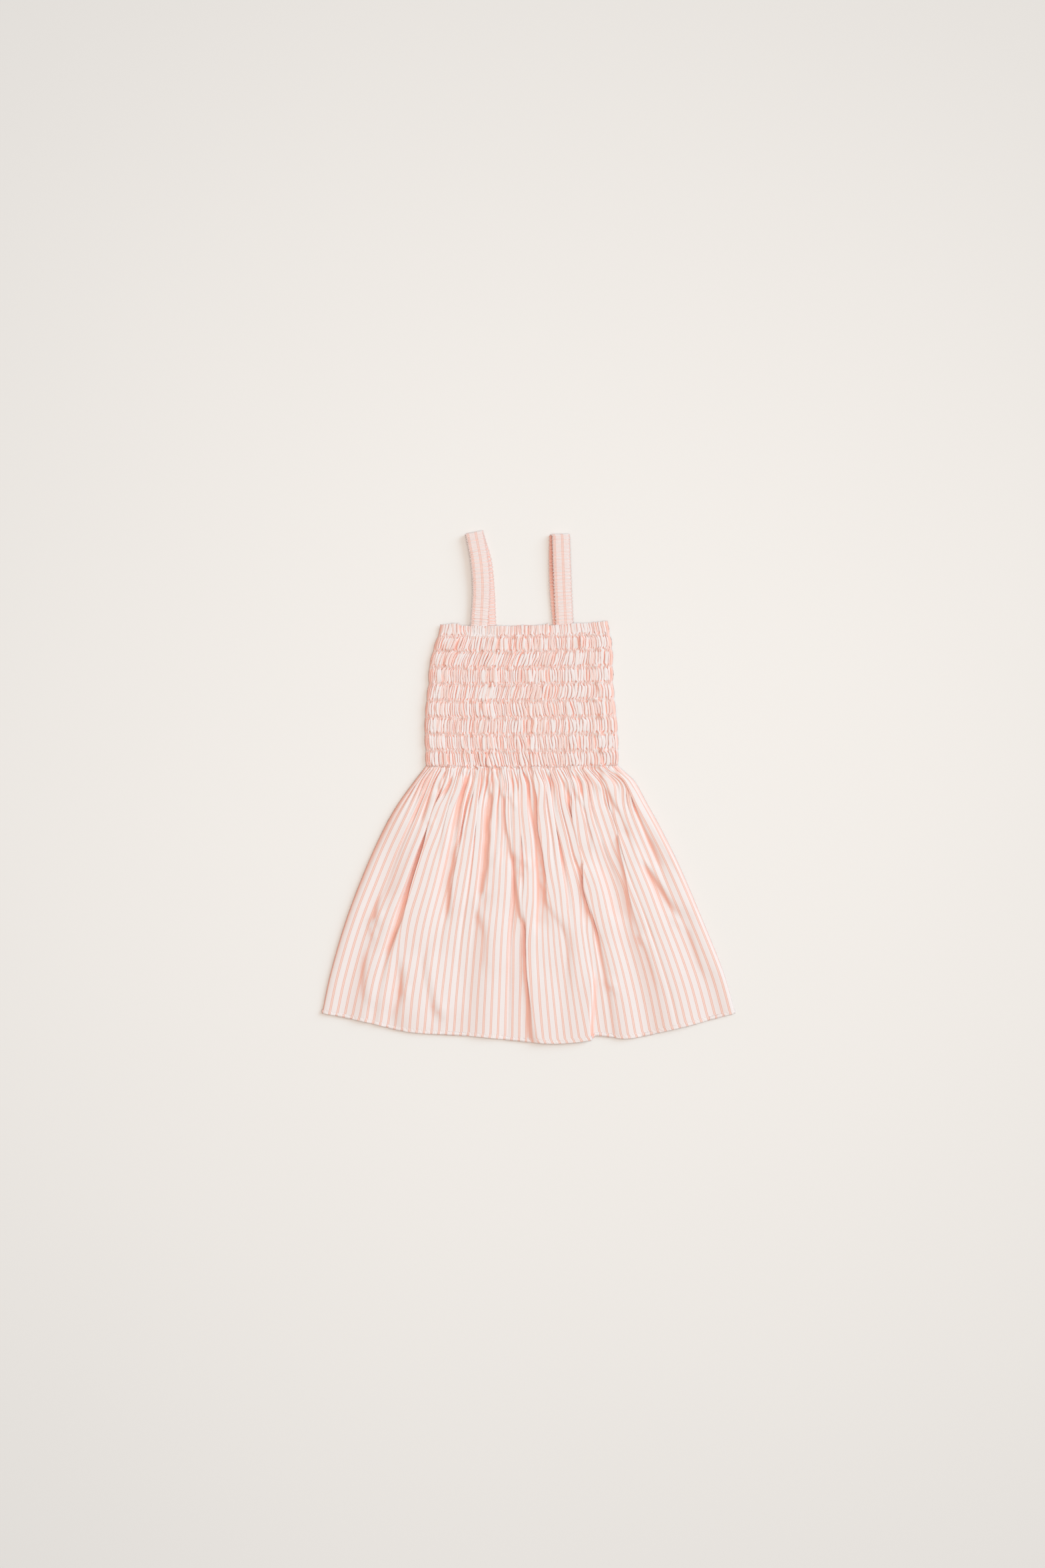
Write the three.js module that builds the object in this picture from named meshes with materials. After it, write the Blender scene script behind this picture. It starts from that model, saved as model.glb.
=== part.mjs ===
// A child's sleeveless summer dress, smocked from the top edge to the waist and gathered below it,
// laid on its back on a table with its front facing up.
// Millimetres. +X is to the right, +Y runs from the hem to the shoulders and +Z is up from the table.
// The origin is the middle of the laid dress, on the table.
import * as THREE from "three";

// Walls of cloth, and the heights at which they lie.
const SEAM_GAP = 0.3;
const BACK_SMOCKED = 2.4;
const BACK_PLAIN = 1.2;
const BODICE_WALL = 1.3;
const SKIRT_WALL = 1.6;
const HEM_TURN = 4; // depth of the turned hem
const HEM_STEP = 0.4; // how much thicker the turned hem is

// Smocking: gathers across the front, drawn in by rows of elastic thread.
const GATHERS = 62;
const GATHER_HEIGHT = 2.1; // halfway between two rows
const ROW_HEIGHT = 0.8; // on a row of elastic
const HEADER_HEIGHT = 1.1; // in the header above the first row
const PUFF = 1.1; // how far the side edge swells between two rows
const UNEVEN = 0.35; // share by which one gather differs from the next
const SIDE_FADE = 0.035; // share of the width in which the wall sinks to the side seam

// The top edge and the rows of elastic, from the neck down: both ends, and the height at the ends and
// the middle. drift is how far the gathers have leant sideways by that row.
const ROWS = [
  { name: "top edge", xLeft: -99, xRight: 89, yLeft: 182, yMid: 180.2, yRight: 185.5, drift: 0 },
  { name: "elastic 1", xLeft: -101.5, xRight: 91.2, yLeft: 169, yMid: 169, yRight: 171, drift: 0 },
  { name: "elastic 2", xLeft: -107, xRight: 93.2, yLeft: 152.4, yMid: 151.6, yRight: 155, drift: 1 },
  { name: "elastic 3", xLeft: -111.2, xRight: 94.1, yLeft: 134.6, yMid: 133.4, yRight: 135.8, drift: -4 },
  { name: "elastic 4", xLeft: -111.8, xRight: 94.4, yLeft: 115.6, yMid: 115, yRight: 117.4, drift: -4 },
  { name: "elastic 5", xLeft: -114.2, xRight: 96, yLeft: 97, yMid: 96.2, yRight: 98.6, drift: -8 },
  { name: "elastic 6", xLeft: -115.8, xRight: 98.2, yLeft: 78.4, yMid: 77, yRight: 80, drift: -5 },
  { name: "elastic 7", xLeft: -116.2, xRight: 99.5, yLeft: 59.6, yMid: 58.4, yRight: 60.4, drift: -7 },
  { name: "elastic 8", xLeft: -115.2, xRight: 100.3, yLeft: 41, yMid: 39.6, yRight: 41.4, drift: -6 },
  { name: "waist", xLeft: -114.8, xRight: 100, yLeft: 23, yMid: 21.4, yRight: 24, drift: -2 },
];
const TOP = ROWS[0];
const WAIST = ROWS[ROWS.length - 1];
const BACK_NECK_RISE = 1; // the back's top edge shows this far above the front's, in the middle

// Side seams of the skirt, from the waist down.
const SIDES = [
  { y: 24, left: -114.8, right: 100 },
  { y: 6, left: -128.5, right: 120 },
  { y: -19, left: -146.5, right: 133.5 },
  { y: -46, left: -162, right: 148.5 },
  { y: -90, left: -182.3, right: 170.2 },
  { y: -148, left: -204.6, right: 195 },
  { y: -209, left: -222.6, right: 219.4 },
  { y: -255, left: -232.4, right: 232.4 },
];

// The hem line, from the left corner to the right one, with the step where one fold crosses it.
const HEM = [
  { x: -232.4, y: -254.6 },
  { x: -182, y: -265 },
  { x: -136, y: -275.8 },
  { x: -60, y: -281 },
  { x: 24, y: -288.8 },
  { x: 69, y: -285.2 },
  { x: 76, y: -280.2 },
  { x: 112, y: -283.2 },
  { x: 168, y: -271.6 },
  { x: 232.4, y: -254.8 },
];

// The skirt's folds. Each line is where the cloth steps up, from a trough on one side to a crest on
// the other: height is half the step, and reach is how far the trough and the crest lie from the
// line. A negative height puts the crest on the left.
const FOLDS = [
  { name: "left long", x1: -94, y1: 8, x2: -126, y2: -97, x3: -167, y3: -222, height: 2.8, reach: 8 },
  { name: "left short", x1: -77, y1: 11, x2: -91, y2: -42, x3: -95, y3: -100, height: 1.2, reach: 6 },
  { name: "left middle", x1: -64, y1: -20, x2: -81, y2: -97, x3: -90, y3: -160, height: 1.4, reach: 7 },
  { name: "left of centre", x1: -42, y1: 2, x2: -40, y2: -45, x3: -47, y3: -124, height: 1.4, reach: 6 },
  { name: "soft hollow", x1: -61, y1: -124, x2: -49, y2: -165, x3: -43, y3: -220, height: 0.8, reach: 10 },
  { name: "centre upper", x1: -31, y1: 2, x2: -21, y2: -45, x3: -4, y3: -104, height: 1.5, reach: 6 },
  { name: "centre main", x1: 2, y1: -76, x2: -11, y2: -187, x3: 16, y3: -292, height: 3.6, reach: 9 },
  { name: "centre right", x1: 4, y1: 16, x2: 14, y2: -60, x3: 38, y3: -142, height: 3, reach: 8 },
  { name: "right hollow", x1: 33, y1: -124, x2: 42, y2: -172, x3: 47, y3: -240, height: 1, reach: 11 },
  { name: "right upper", x1: 51, y1: 4, x2: 62, y2: -40, x3: 65, y3: -84, height: 1.5, reach: 6 },
  { name: "right main", x1: 51, y1: -50, x2: 74, y2: -138, x3: 88, y3: -228, height: 3.6, reach: 9 },
  { name: "hem step", x1: 80, y1: -216, x2: 76, y2: -252, x3: 72, y3: -292, height: -1.8, reach: 7 },
  { name: "right long", x1: 84, y1: -2, x2: 103, y2: -82, x3: 124, y3: -168, height: 2, reach: 7 },
  { name: "right side", x1: 82, y1: 16, x2: 109, y2: -52, x3: 124, y3: -92, height: 1.7, reach: 7 },
  { name: "right diagonal", x1: 116, y1: -76, x2: 148, y2: -116, x3: 180, y3: -162, height: 1.5, reach: 9 },
  { name: "left lower", x1: -176, y1: -180, x2: -184, y2: -222, x3: -172, y3: -256, height: 1.2, reach: 8 },
  { name: "lower hollow", x1: -142, y1: -180, x2: -139, y2: -228, x3: -151, y3: -276, height: 1.4, reach: 10 },
  { name: "lower crease", x1: -107, y1: -170, x2: -112, y2: -217, x3: -90, y3: -274, height: 1.1, reach: 7 },
];
const FOLD_FADE = 22; // length in which a fold rises at its ends
const FOLD_FADE_MOST = 0.4; // and at most this share of its length

// The skirt's height along its length: crown is the outer face between folds and gather is the
// height of the gathers that run on below the waist.
const DRAPE = [
  { down: 0, crown: 4, gather: ROW_HEIGHT },
  { down: 0.03, crown: 5, gather: 2.2 },
  { down: 0.07, crown: 6, gather: 2.2 },
  { down: 0.12, crown: 6.6, gather: 1.7 },
  { down: 0.18, crown: 6.8, gather: 1.1 },
  { down: 0.25, crown: 6.8, gather: 0.6 },
  { down: 0.33, crown: 6.7, gather: 0.3 },
  { down: 0.41, crown: 6.5, gather: 0 },
  { down: 0.5, crown: 6.3, gather: 0 },
  { down: 0.59, crown: 6.1, gather: 0 },
  { down: 0.68, crown: 5.9, gather: 0 },
  { down: 0.77, crown: 5.6, gather: 0 },
  { down: 0.87, crown: 5.2, gather: 0 },
  { down: 0.95, crown: 4.8, gather: 0 },
  { down: 1, crown: 4.5, gather: 0 },
];
const HIGHEST = 10.5; // the crests of the largest folds
const THINNED = 0.15; // share of the skirt's length in which the smocked wall thins to the plain one
const STRAIGHTENED = 0.3; // share of it in which the gathers lose their lean

// Straps: bands gathered lengthwise, each folded over at the shoulder into a front and a back run.
const STRAP_WIDTH = 19.6;
const STRAP_WALL = 1.6;
const STRAP_RIB = 0.55;
const RIB_PITCH = 2.7;
const RIB_MARGIN = 0.2; // share of the width from each edge in which a rib rises
const FRONT_RUN_HEIGHT = 3.5; // middle of the wall, above the table
const BACK_RUN_HEIGHT = STRAP_WALL / 2;
const TURN_STEPS = 8;
const BACK_RUN_STEPS = 8;
const STRAPS = {
  // The middle line of each run, from the shoulder fold down to the top edge.
  strap_left: [
    { y: 284.9, front: -60.6, back: -60.6 },
    { y: 253, front: -55, back: -51.6 },
    { y: 221, front: -53, back: -48.2 },
    { y: 182, front: -54.3, back: -47.4 },
  ],
  strap_right: [
    { y: 282.8, front: 36.4, back: 36 },
    { y: 253, front: 37.3, back: 33 },
    { y: 218, front: 38.7, back: 34 },
    { y: 182, front: 40.6, back: 36.8 },
  ],
};

// Columns across a panel.
const GATHERED_COLUMNS = 2 * GATHERS; // a trough and a crest for each gather
const PLAIN_COLUMNS = GATHERS;
const INNER_BODICE_COLUMNS = 12;
const BACK_COLUMNS = 14;
const BACK_INSET = 1; // the back lies this far inside the front's outline

const COTTON = { color: 0xefd4cb, roughness: 0.9, metalness: 0 };

const clamp = (x, low, high) => Math.min(high, Math.max(low, x));
const lerp = THREE.MathUtils.lerp;
const smooth = THREE.MathUtils.smoothstep;

// A repeatable uneven number from -1 to 1 for a whole number.
function uneven(n) {
  return 2 * THREE.MathUtils.seededRandom(n * 7919 + 17) - 1;
}

// The parabola through (0, a), (0.5, b) and (1, c).
function bow(a, b, c, t) {
  return a * (1 - t) * (1 - 2 * t) + 4 * b * t * (1 - t) + c * t * (2 * t - 1);
}

// A smooth curve through one column of a table, read at a value of another column.
function read(table, key, column, at) {
  const rising = table[1][key] > table[0][key] ? 1 : -1;
  let i = 0;
  while (i < table.length - 2 && (at - table[i + 1][key]) * rising > 0) i += 1;
  const low = table[i];
  const high = table[i + 1];
  const before = table[Math.max(i - 1, 0)];
  const after = table[Math.min(i + 2, table.length - 1)];
  const span = high[key] - low[key];
  const t = clamp((at - low[key]) / span, 0, 1);
  const slopeLow = ((high[column] - before[column]) / (high[key] - before[key])) * span;
  const slopeHigh = ((after[column] - low[column]) / (after[key] - low[key])) * span;
  const t2 = t * t;
  const t3 = t2 * t;
  return (
    low[column] * (2 * t3 - 3 * t2 + 1) +
    slopeLow * (t3 - 2 * t2 + t) +
    high[column] * (3 * t2 - 2 * t3) +
    slopeHigh * (t3 - t2)
  );
}

// 0 at the side seams and 1 over the rest of the width.
function awayFromSides(s) {
  return smooth(Math.min(s, 1 - s), 0, SIDE_FADE);
}

// The sections of the panels from the top edge to the hem. Each gives a point of the panel for a
// share s of its width, the height of its outer face and its gathers, and where the back's face lies.
function bodiceSection(row, gather, puff) {
  return {
    place: (s) => ({
      x: lerp(row.xLeft - puff, row.xRight + puff, s) + row.drift * 4 * s * (1 - s),
      y: bow(row.yLeft, row.yMid, row.yRight, s),
    }),
    gather,
    backTop: BACK_SMOCKED,
    wall: BODICE_WALL,
    smocked: true,
  };
}

// The row halfway between two rows of elastic.
function between(a, b) {
  const row = {};
  for (const column of Object.keys(a)) {
    if (column !== "name") row[column] = (a[column] + b[column]) / 2;
  }
  return row;
}

function skirtSection(stage) {
  const down = stage.down;
  return {
    place: (s) => {
      const hemX = lerp(HEM[0].x, HEM[HEM.length - 1].x, s);
      const y = lerp(bow(WAIST.yLeft, WAIST.yMid, WAIST.yRight, s), read(HEM, "x", "y", hemX), down);
      const left = read(SIDES, "y", "left", lerp(WAIST.yLeft, HEM[0].y, down));
      const right = read(SIDES, "y", "right", lerp(WAIST.yRight, HEM[HEM.length - 1].y, down));
      const drift = WAIST.drift * 4 * s * (1 - s) * (1 - smooth(down, 0, STRAIGHTENED));
      return { x: lerp(left, right, s) + drift, y };
    },
    gather: stage.gather,
    crown: stage.crown + (stage.hem ?? 0),
    backTop: lerp(BACK_SMOCKED, BACK_PLAIN, smooth(down, 0, THINNED)),
    wall: lerp(BODICE_WALL, SKIRT_WALL, smooth(down, 0, THINNED)),
    smocked: false,
  };
}

function panelSections() {
  const sections = [];
  ROWS.forEach((row, i) => {
    sections.push(bodiceSection(row, ROW_HEIGHT, 0));
    if (i < ROWS.length - 1) {
      const puff = i === 0 ? 0 : PUFF;
      const gather = i === 0 ? HEADER_HEIGHT : GATHER_HEIGHT;
      sections.push(bodiceSection(between(row, ROWS[i + 1]), gather, puff));
    }
  });
  for (const stage of DRAPE.slice(1)) sections.push(skirtSection(stage));
  // The turned hem, a thicker band along the edge.
  const skirtLength = WAIST.yMid - HEM[4].y;
  const edge = DRAPE[DRAPE.length - 1];
  const turn = { ...edge, down: 1 - HEM_TURN / skirtLength, hem: HEM_STEP };
  sections.splice(sections.length - 1, 1, skirtSection(turn), skirtSection({ ...edge, hem: HEM_STEP }));
  return sections;
}

// How much one fold lifts or lowers the cloth at a point.
function foldAt(fold, x, y) {
  const t = (y - fold.y1) / (fold.y3 - fold.y1);
  if (t <= 0 || t >= 1) return 0;
  const knee = (fold.y2 - fold.y1) / (fold.y3 - fold.y1);
  // The parabola through the three points of the line, and its slope.
  const bend = (fold.x2 - lerp(fold.x1, fold.x3, knee)) / (knee * (knee - 1));
  const line = lerp(fold.x1, fold.x3, t) + bend * t * (t - 1);
  const slope = (fold.x3 - fold.x1 + bend * (2 * t - 1)) / (fold.y3 - fold.y1);
  const off = (x - line) / Math.hypot(1, slope) / fold.reach;
  const length = Math.abs(fold.y3 - fold.y1);
  const fade = Math.min(FOLD_FADE / length, FOLD_FADE_MOST);
  const along = smooth(t, 0, fade) * smooth(1 - t, 0, fade);
  return fold.height * off * Math.exp((1 - off * off) / 2) * along;
}

// The height of the front's outer face: crown and folds, without gathers.
function frontFace(section, s, x, y) {
  const under = section.backTop + SEAM_GAP;
  const low = under + section.wall;
  if (section.smocked) return low;
  let face = lerp(low, section.crown, smooth(Math.min(s, 1 - s), 0, 3 * SIDE_FADE));
  for (const fold of FOLDS) face += foldAt(fold, x, y);
  return clamp(face, low, HIGHEST);
}

// The height of one gather's crest or trough, by its column.
function gatherAt(section, index, column, s) {
  if (column % 2 === 0) return 0;
  const share = 1 + UNEVEN * uneven(column * 31 + index * 7);
  return section.gather * share * awayFromSides(s);
}

function rowOf(count, pointAt) {
  return Array.from({ length: count + 1 }, (_, column) => {
    const s = column / count;
    return { s, point: pointAt(s, column) };
  });
}

// Triangles between two rows of points, which may have different numbers of points.
function zip(a, b, triangles) {
  let i = 0;
  let j = 0;
  while (i < a.length - 1 || j < b.length - 1) {
    const onA = j === b.length - 1 || (i < a.length - 1 && a[i + 1].s <= b[j + 1].s);
    const next = onA ? a[i + 1] : b[j + 1];
    triangles.push(a[i].point, b[j].point, next.point);
    if (onA) i += 1;
    else j += 1;
  }
}

// Two triangles between a pair of points on one cross-section and the same pair on the next.
function side(a, b, nextA, nextB, triangles) {
  triangles.push(a.point, b.point, nextA.point);
  triangles.push(b.point, nextB.point, nextA.point);
}

// A closed wall of cloth from its cross-sections, each with an outer and an inner row of points.
function wallGeometry(rings) {
  const triangles = [];
  for (let i = 0; i < rings.length - 1; i += 1) {
    const here = rings[i];
    const next = rings[i + 1];
    zip(here.outer, next.outer, triangles);
    zip(next.inner, here.inner, triangles);
    side(here.outer[0], here.inner[0], next.outer[0], next.inner[0], triangles);
    side(here.inner.at(-1), here.outer.at(-1), next.inner.at(-1), next.outer.at(-1), triangles);
  }
  zip(rings[0].inner, rings[0].outer, triangles);
  zip(rings.at(-1).outer, rings.at(-1).inner, triangles);
  const positions = new Float32Array(triangles.flatMap((point) => point.toArray()));
  const geometry = new THREE.BufferGeometry();
  geometry.setAttribute("position", new THREE.BufferAttribute(positions, 3));
  geometry.computeVertexNormals();
  return geometry;
}

function cloth(name, geometry) {
  const mesh = new THREE.Mesh(geometry, new THREE.MeshStandardMaterial(COTTON));
  mesh.name = name;
  return mesh;
}

// The front panel, cut in one from the top edge to the hem.
function frontPanel() {
  const rings = panelSections().map((section, index) => {
    const outerColumns = section.gather > 0 ? GATHERED_COLUMNS : PLAIN_COLUMNS;
    const outer = rowOf(outerColumns, (s, column) => {
      const { x, y } = section.place(s);
      const z = frontFace(section, s, x, y) + gatherAt(section, index, column, s);
      return new THREE.Vector3(x, y, Math.min(z, HIGHEST));
    });
    const under = section.backTop + SEAM_GAP;
    const innerColumns = section.smocked ? INNER_BODICE_COLUMNS : PLAIN_COLUMNS;
    const inner = rowOf(innerColumns, (s) => {
      const { x, y } = section.place(s);
      return new THREE.Vector3(x, y, Math.max(frontFace(section, s, x, y) - section.wall, under));
    });
    return { outer, inner };
  });
  return cloth("front", wallGeometry(rings));
}

// The back panel, which lies flat on the table under the front.
function backPanel() {
  const sections = panelSections();
  const rings = sections.map((section, index) => {
    const neck = index === 0 ? BACK_NECK_RISE : 0;
    const hem = index === sections.length - 1 ? BACK_INSET : 0;
    const faceAt = (z) =>
      rowOf(BACK_COLUMNS, (s) => {
        const { x, y } = section.place(s);
        const inset = BACK_INSET * (1 - 2 * s);
        return new THREE.Vector3(x + inset, y + neck * 4 * s * (1 - s) + hem, z);
      });
    return { outer: faceAt(section.backTop), inner: faceAt(0) };
  });
  return cloth("back", wallGeometry(rings));
}

// A strap, as a band of wall that runs up the front, turns over at the shoulder and runs down the back.
function strap(name, line) {
  const shoulder = line[0];
  const end = line.at(-1);
  const turnRadius = (FRONT_RUN_HEIGHT - BACK_RUN_HEIGHT) / 2;
  const turnHeight = (FRONT_RUN_HEIGHT + BACK_RUN_HEIGHT) / 2;
  const lean = Math.atan2(shoulder.front - line[1].front, shoulder.y - line[1].y);
  const stations = [];

  // Slope of a run's line, as a sideways angle from +Y.
  const leanAt = (column, y) => {
    const step = 1;
    return Math.atan2(read(line, "y", column, y + step) - read(line, "y", column, y - step), 2 * step);
  };

  const frontLength = shoulder.y - frontEdgeY(end.front) - SEAM_GAP;
  const ribs = Math.round(frontLength / RIB_PITCH);
  for (let i = 0; i <= 2 * ribs; i += 1) {
    const y = shoulder.y - frontLength * (1 - i / (2 * ribs));
    const blend = smooth(y, shoulder.y - 3 * RIB_PITCH, shoulder.y);
    stations.push({
      x: read(line, "y", "front", y),
      y,
      z: FRONT_RUN_HEIGHT,
      lean: i === 0 ? 0 : lerp(leanAt("front", y), lean, blend),
      turn: 0,
      rib: i % 2 === 1 ? STRAP_RIB * (1 + UNEVEN * uneven(i)) : 0,
    });
  }
  for (let i = 1; i < TURN_STEPS; i += 1) {
    const turn = (Math.PI * i) / TURN_STEPS;
    const forward = turnRadius * Math.sin(turn);
    stations.push({
      x: shoulder.front + forward * Math.sin(lean),
      y: shoulder.y + forward * Math.cos(lean),
      z: turnHeight + turnRadius * Math.cos(turn),
      lean,
      turn,
      rib: 0,
    });
  }
  const backLength = shoulder.y - backEdgeY(end.back) - SEAM_GAP;
  for (let i = 0; i <= BACK_RUN_STEPS; i += 1) {
    const y = shoulder.y - (backLength * i) / BACK_RUN_STEPS;
    stations.push({
      x: read(line, "y", "back", y),
      y,
      z: BACK_RUN_HEIGHT,
      lean: i === BACK_RUN_STEPS ? 0 : lerp(lean, leanAt("back", y), Math.min(i, 1)),
      turn: Math.PI,
      rib: 0,
    });
  }

  const rings = stations.map((station) => {
    const across = new THREE.Vector3(-Math.cos(station.lean), Math.sin(station.lean), 0);
    const along = new THREE.Vector3(Math.sin(station.lean), Math.cos(station.lean), 0);
    const outward = new THREE.Vector3(0, 0, Math.cos(station.turn)).addScaledVector(
      along,
      Math.sin(station.turn),
    );
    const middle = new THREE.Vector3(station.x, station.y, station.z);
    const at = (share, height) =>
      middle
        .clone()
        .addScaledVector(across, (share - 0.5) * STRAP_WIDTH)
        .addScaledVector(outward, height);
    const crest = STRAP_WALL / 2 + station.rib;
    return {
      outer: [
        { s: 0, point: at(0, STRAP_WALL / 2) },
        { s: RIB_MARGIN, point: at(RIB_MARGIN, crest) },
        { s: 1 - RIB_MARGIN, point: at(1 - RIB_MARGIN, crest) },
        { s: 1, point: at(1, STRAP_WALL / 2) },
      ],
      inner: [
        { s: 0, point: at(0, -STRAP_WALL / 2) },
        { s: 1, point: at(1, -STRAP_WALL / 2) },
      ],
    };
  });
  return cloth(name, wallGeometry(rings));
}

// The highest point of the front's or the back's top edge under a strap whose middle is at x.
function highestEdge(x, rise) {
  const shares = [-0.5, 0, 0.5].map((side) => {
    const s = (x + side * STRAP_WIDTH - TOP.xLeft) / (TOP.xRight - TOP.xLeft);
    return bow(TOP.yLeft, TOP.yMid, TOP.yRight, s) + rise * 4 * s * (1 - s);
  });
  return Math.max(...shares);
}

function frontEdgeY(x) {
  return highestEdge(x, 0);
}

function backEdgeY(x) {
  return highestEdge(x, BACK_NECK_RISE);
}

const dress = new THREE.Group();
dress.name = "smocked_dress";
dress.add(frontPanel(), backPanel());
for (const [name, line] of Object.entries(STRAPS)) dress.add(strap(name, line));

export default dress;
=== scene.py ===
import math

import bpy
import numpy as np
from bpy.props import FloatProperty, FloatVectorProperty, PointerProperty
from bpy.types import Operator, Panel, PropertyGroup
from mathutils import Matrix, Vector


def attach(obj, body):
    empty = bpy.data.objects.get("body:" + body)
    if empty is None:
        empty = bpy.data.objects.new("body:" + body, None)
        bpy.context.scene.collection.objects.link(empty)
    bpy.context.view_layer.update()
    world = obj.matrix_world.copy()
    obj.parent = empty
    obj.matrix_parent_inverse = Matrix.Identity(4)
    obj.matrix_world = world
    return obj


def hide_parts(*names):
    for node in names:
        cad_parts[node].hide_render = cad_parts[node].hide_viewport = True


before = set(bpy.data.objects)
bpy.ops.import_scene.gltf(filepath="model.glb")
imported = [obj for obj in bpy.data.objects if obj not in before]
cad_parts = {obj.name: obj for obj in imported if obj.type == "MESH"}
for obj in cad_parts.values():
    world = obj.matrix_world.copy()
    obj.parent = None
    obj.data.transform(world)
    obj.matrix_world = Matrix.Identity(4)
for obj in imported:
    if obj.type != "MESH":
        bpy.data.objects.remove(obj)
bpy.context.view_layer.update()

bl_info = {
    "name": "Smocked dress",
    "version": (1, 0, 0),
    "blender": (4, 5, 0),
    "location": "3D View > Sidebar > Dress",
    "description": "A child's smocked cotton dress, laid flat",
    "category": "Add Mesh",
}

# Tables and lengths below are in millimetres. Meshes are made in metres.
MM = 0.001

# Rows of elastic from the neck to the waist: both ends, heights at the ends and the middle, and how
# far sideways the gathers have leant by that row.
ROW_COLUMNS = ("left", "right", "y_left", "y_mid", "y_right", "drift")
ROWS = {
    "top edge": (-99.0, 89.0, 182.0, 180.2, 185.5, 0.0),
    "elastic 1": (-101.5, 91.2, 169.0, 169.0, 171.0, 0.0),
    "elastic 2": (-107.0, 93.2, 152.4, 151.6, 155.0, 1.0),
    "elastic 3": (-111.2, 94.1, 134.6, 133.4, 135.8, -4.0),
    "elastic 4": (-111.8, 94.4, 115.6, 115.0, 117.4, -4.0),
    "elastic 5": (-114.2, 96.0, 97.0, 96.2, 98.6, -8.0),
    "elastic 6": (-115.8, 98.2, 78.4, 77.0, 80.0, -5.0),
    "elastic 7": (-116.2, 99.5, 59.6, 58.4, 60.4, -7.0),
    "elastic 8": (-115.2, 100.3, 41.0, 39.6, 41.4, -6.0),
    "waist": (-114.8, 100.0, 23.0, 21.4, 24.0, -2.0),
}

# Side seams of the skirt: height, left and right.
SIDES = np.array(
    [
        (24.0, -114.8, 100.0),
        (15.0, -121.5, 110.0),
        (6.0, -128.5, 119.5),
        (-19.0, -146.5, 133.5),
        (-46.0, -162.0, 148.5),
        (-90.0, -182.3, 170.2),
        (-148.0, -204.6, 195.0),
        (-209.0, -222.6, 219.4),
        (-255.0, -232.4, 232.4),
    ]
)

# The hem line: across and height.
HEM = np.array(
    [
        (-232.4, -254.6),
        (-182.0, -265.0),
        (-136.0, -275.8),
        (-60.0, -281.0),
        (24.0, -288.8),
        (69.0, -285.2),
        (76.0, -280.2),
        (112.0, -283.2),
        (168.0, -271.6),
        (232.4, -254.8),
    ]
)

# The skirt's folds. The lip of each runs through three points. turn is the steepest slope of the
# cloth, in degrees, at the top, middle and end (over 90 it laps back over itself), and rise is the
# length of cloth that stands in the fold at its top and at its end.
FOLD_COLUMNS = ("x1", "y1", "x2", "y2", "x3", "y3", "turn1", "turn2", "turn3", "rise1", "rise3")
FOLDS = {
    "left long": (-94, 8, -126, -97, -167, -222, 60, 115, 70, 6, 16),
    "left short": (-77, 11, -91, -42, -95, -100, 50, 60, 20, 5, 7),
    "left middle": (-64, -20, -81, -97, -90, -160, 60, 95, 35, 7, 11),
    "left of centre": (-42, 2, -40, -45, -47, -124, 50, 75, 20, 5, 7),
    "soft hollow": (-61, -124, -49, -165, -43, -220, 25, 38, 15, 10, 14),
    "centre upper": (-31, 2, -21, -45, -4, -104, 60, 105, 40, 6, 10),
    "centre main": (2, -76, -11, -187, 16, -292, 90, 135, 35, 9, 18),
    "centre right": (4, 16, 14, -60, 38, -142, 70, 160, 70, 7, 18),
    "right hollow": (33, -124, 42, -172, 47, -240, 30, 45, 20, 11, 16),
    "right upper": (51, 4, 62, -40, 65, -84, 60, 90, 30, 5, 7),
    "right main": (38, -4, 60, -98, 90, -182, 80, 172, 70, 8, 20),
    "right long": (84, -2, 103, -82, 124, -168, 60, 125, 45, 7, 13),
    "right side": (82, 16, 109, -52, 124, -92, 60, 110, 60, 5, 8),
    "right diagonal": (116, -76, 148, -116, 180, -162, 60, 75, 20, 7, 10),
    "left lower": (-176, -180, -184, -222, -172, -256, 20, 45, 20, 8, 9),
    "lower hollow": (-142, -180, -139, -228, -151, -276, 20, 45, 25, 10, 12),
    "lower crease": (-107, -170, -112, -217, -90, -274, 20, 40, 20, 8, 10),
    "left pinch": (-160, -120, -172, -146, -168, -170, 20, 60, 20, 4, 4),
    "left waist": (-98, -4, -109, -30, -112, -52, 40, 70, 30, 4, 4),
    "light left": (-79, 11, -91, -44, -90, -84, 30, 45, 20, 4, 4),
    "light centre": (-37, -86, -44, -110, -48, -128, 20, 45, 20, 5, 5),
    "light right": (22, -92, 30, -128, 40, -168, 30, 50, 20, 5, 5),
    "small right": (45, 3, 46, -20, 46, -36, 50, 80, 30, 4, 4),
    "lower right": (128, -170, 140, -200, 148, -236, 15, 35, 15, 7, 7),
    "far right": (176, -150, 190, -190, 203, -226, 15, 30, 15, 6, 6),
    "hem lap": (70, -200, 70.5, -246, 71.5, -296, -40, -110, -150, 6, 8),
}

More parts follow.
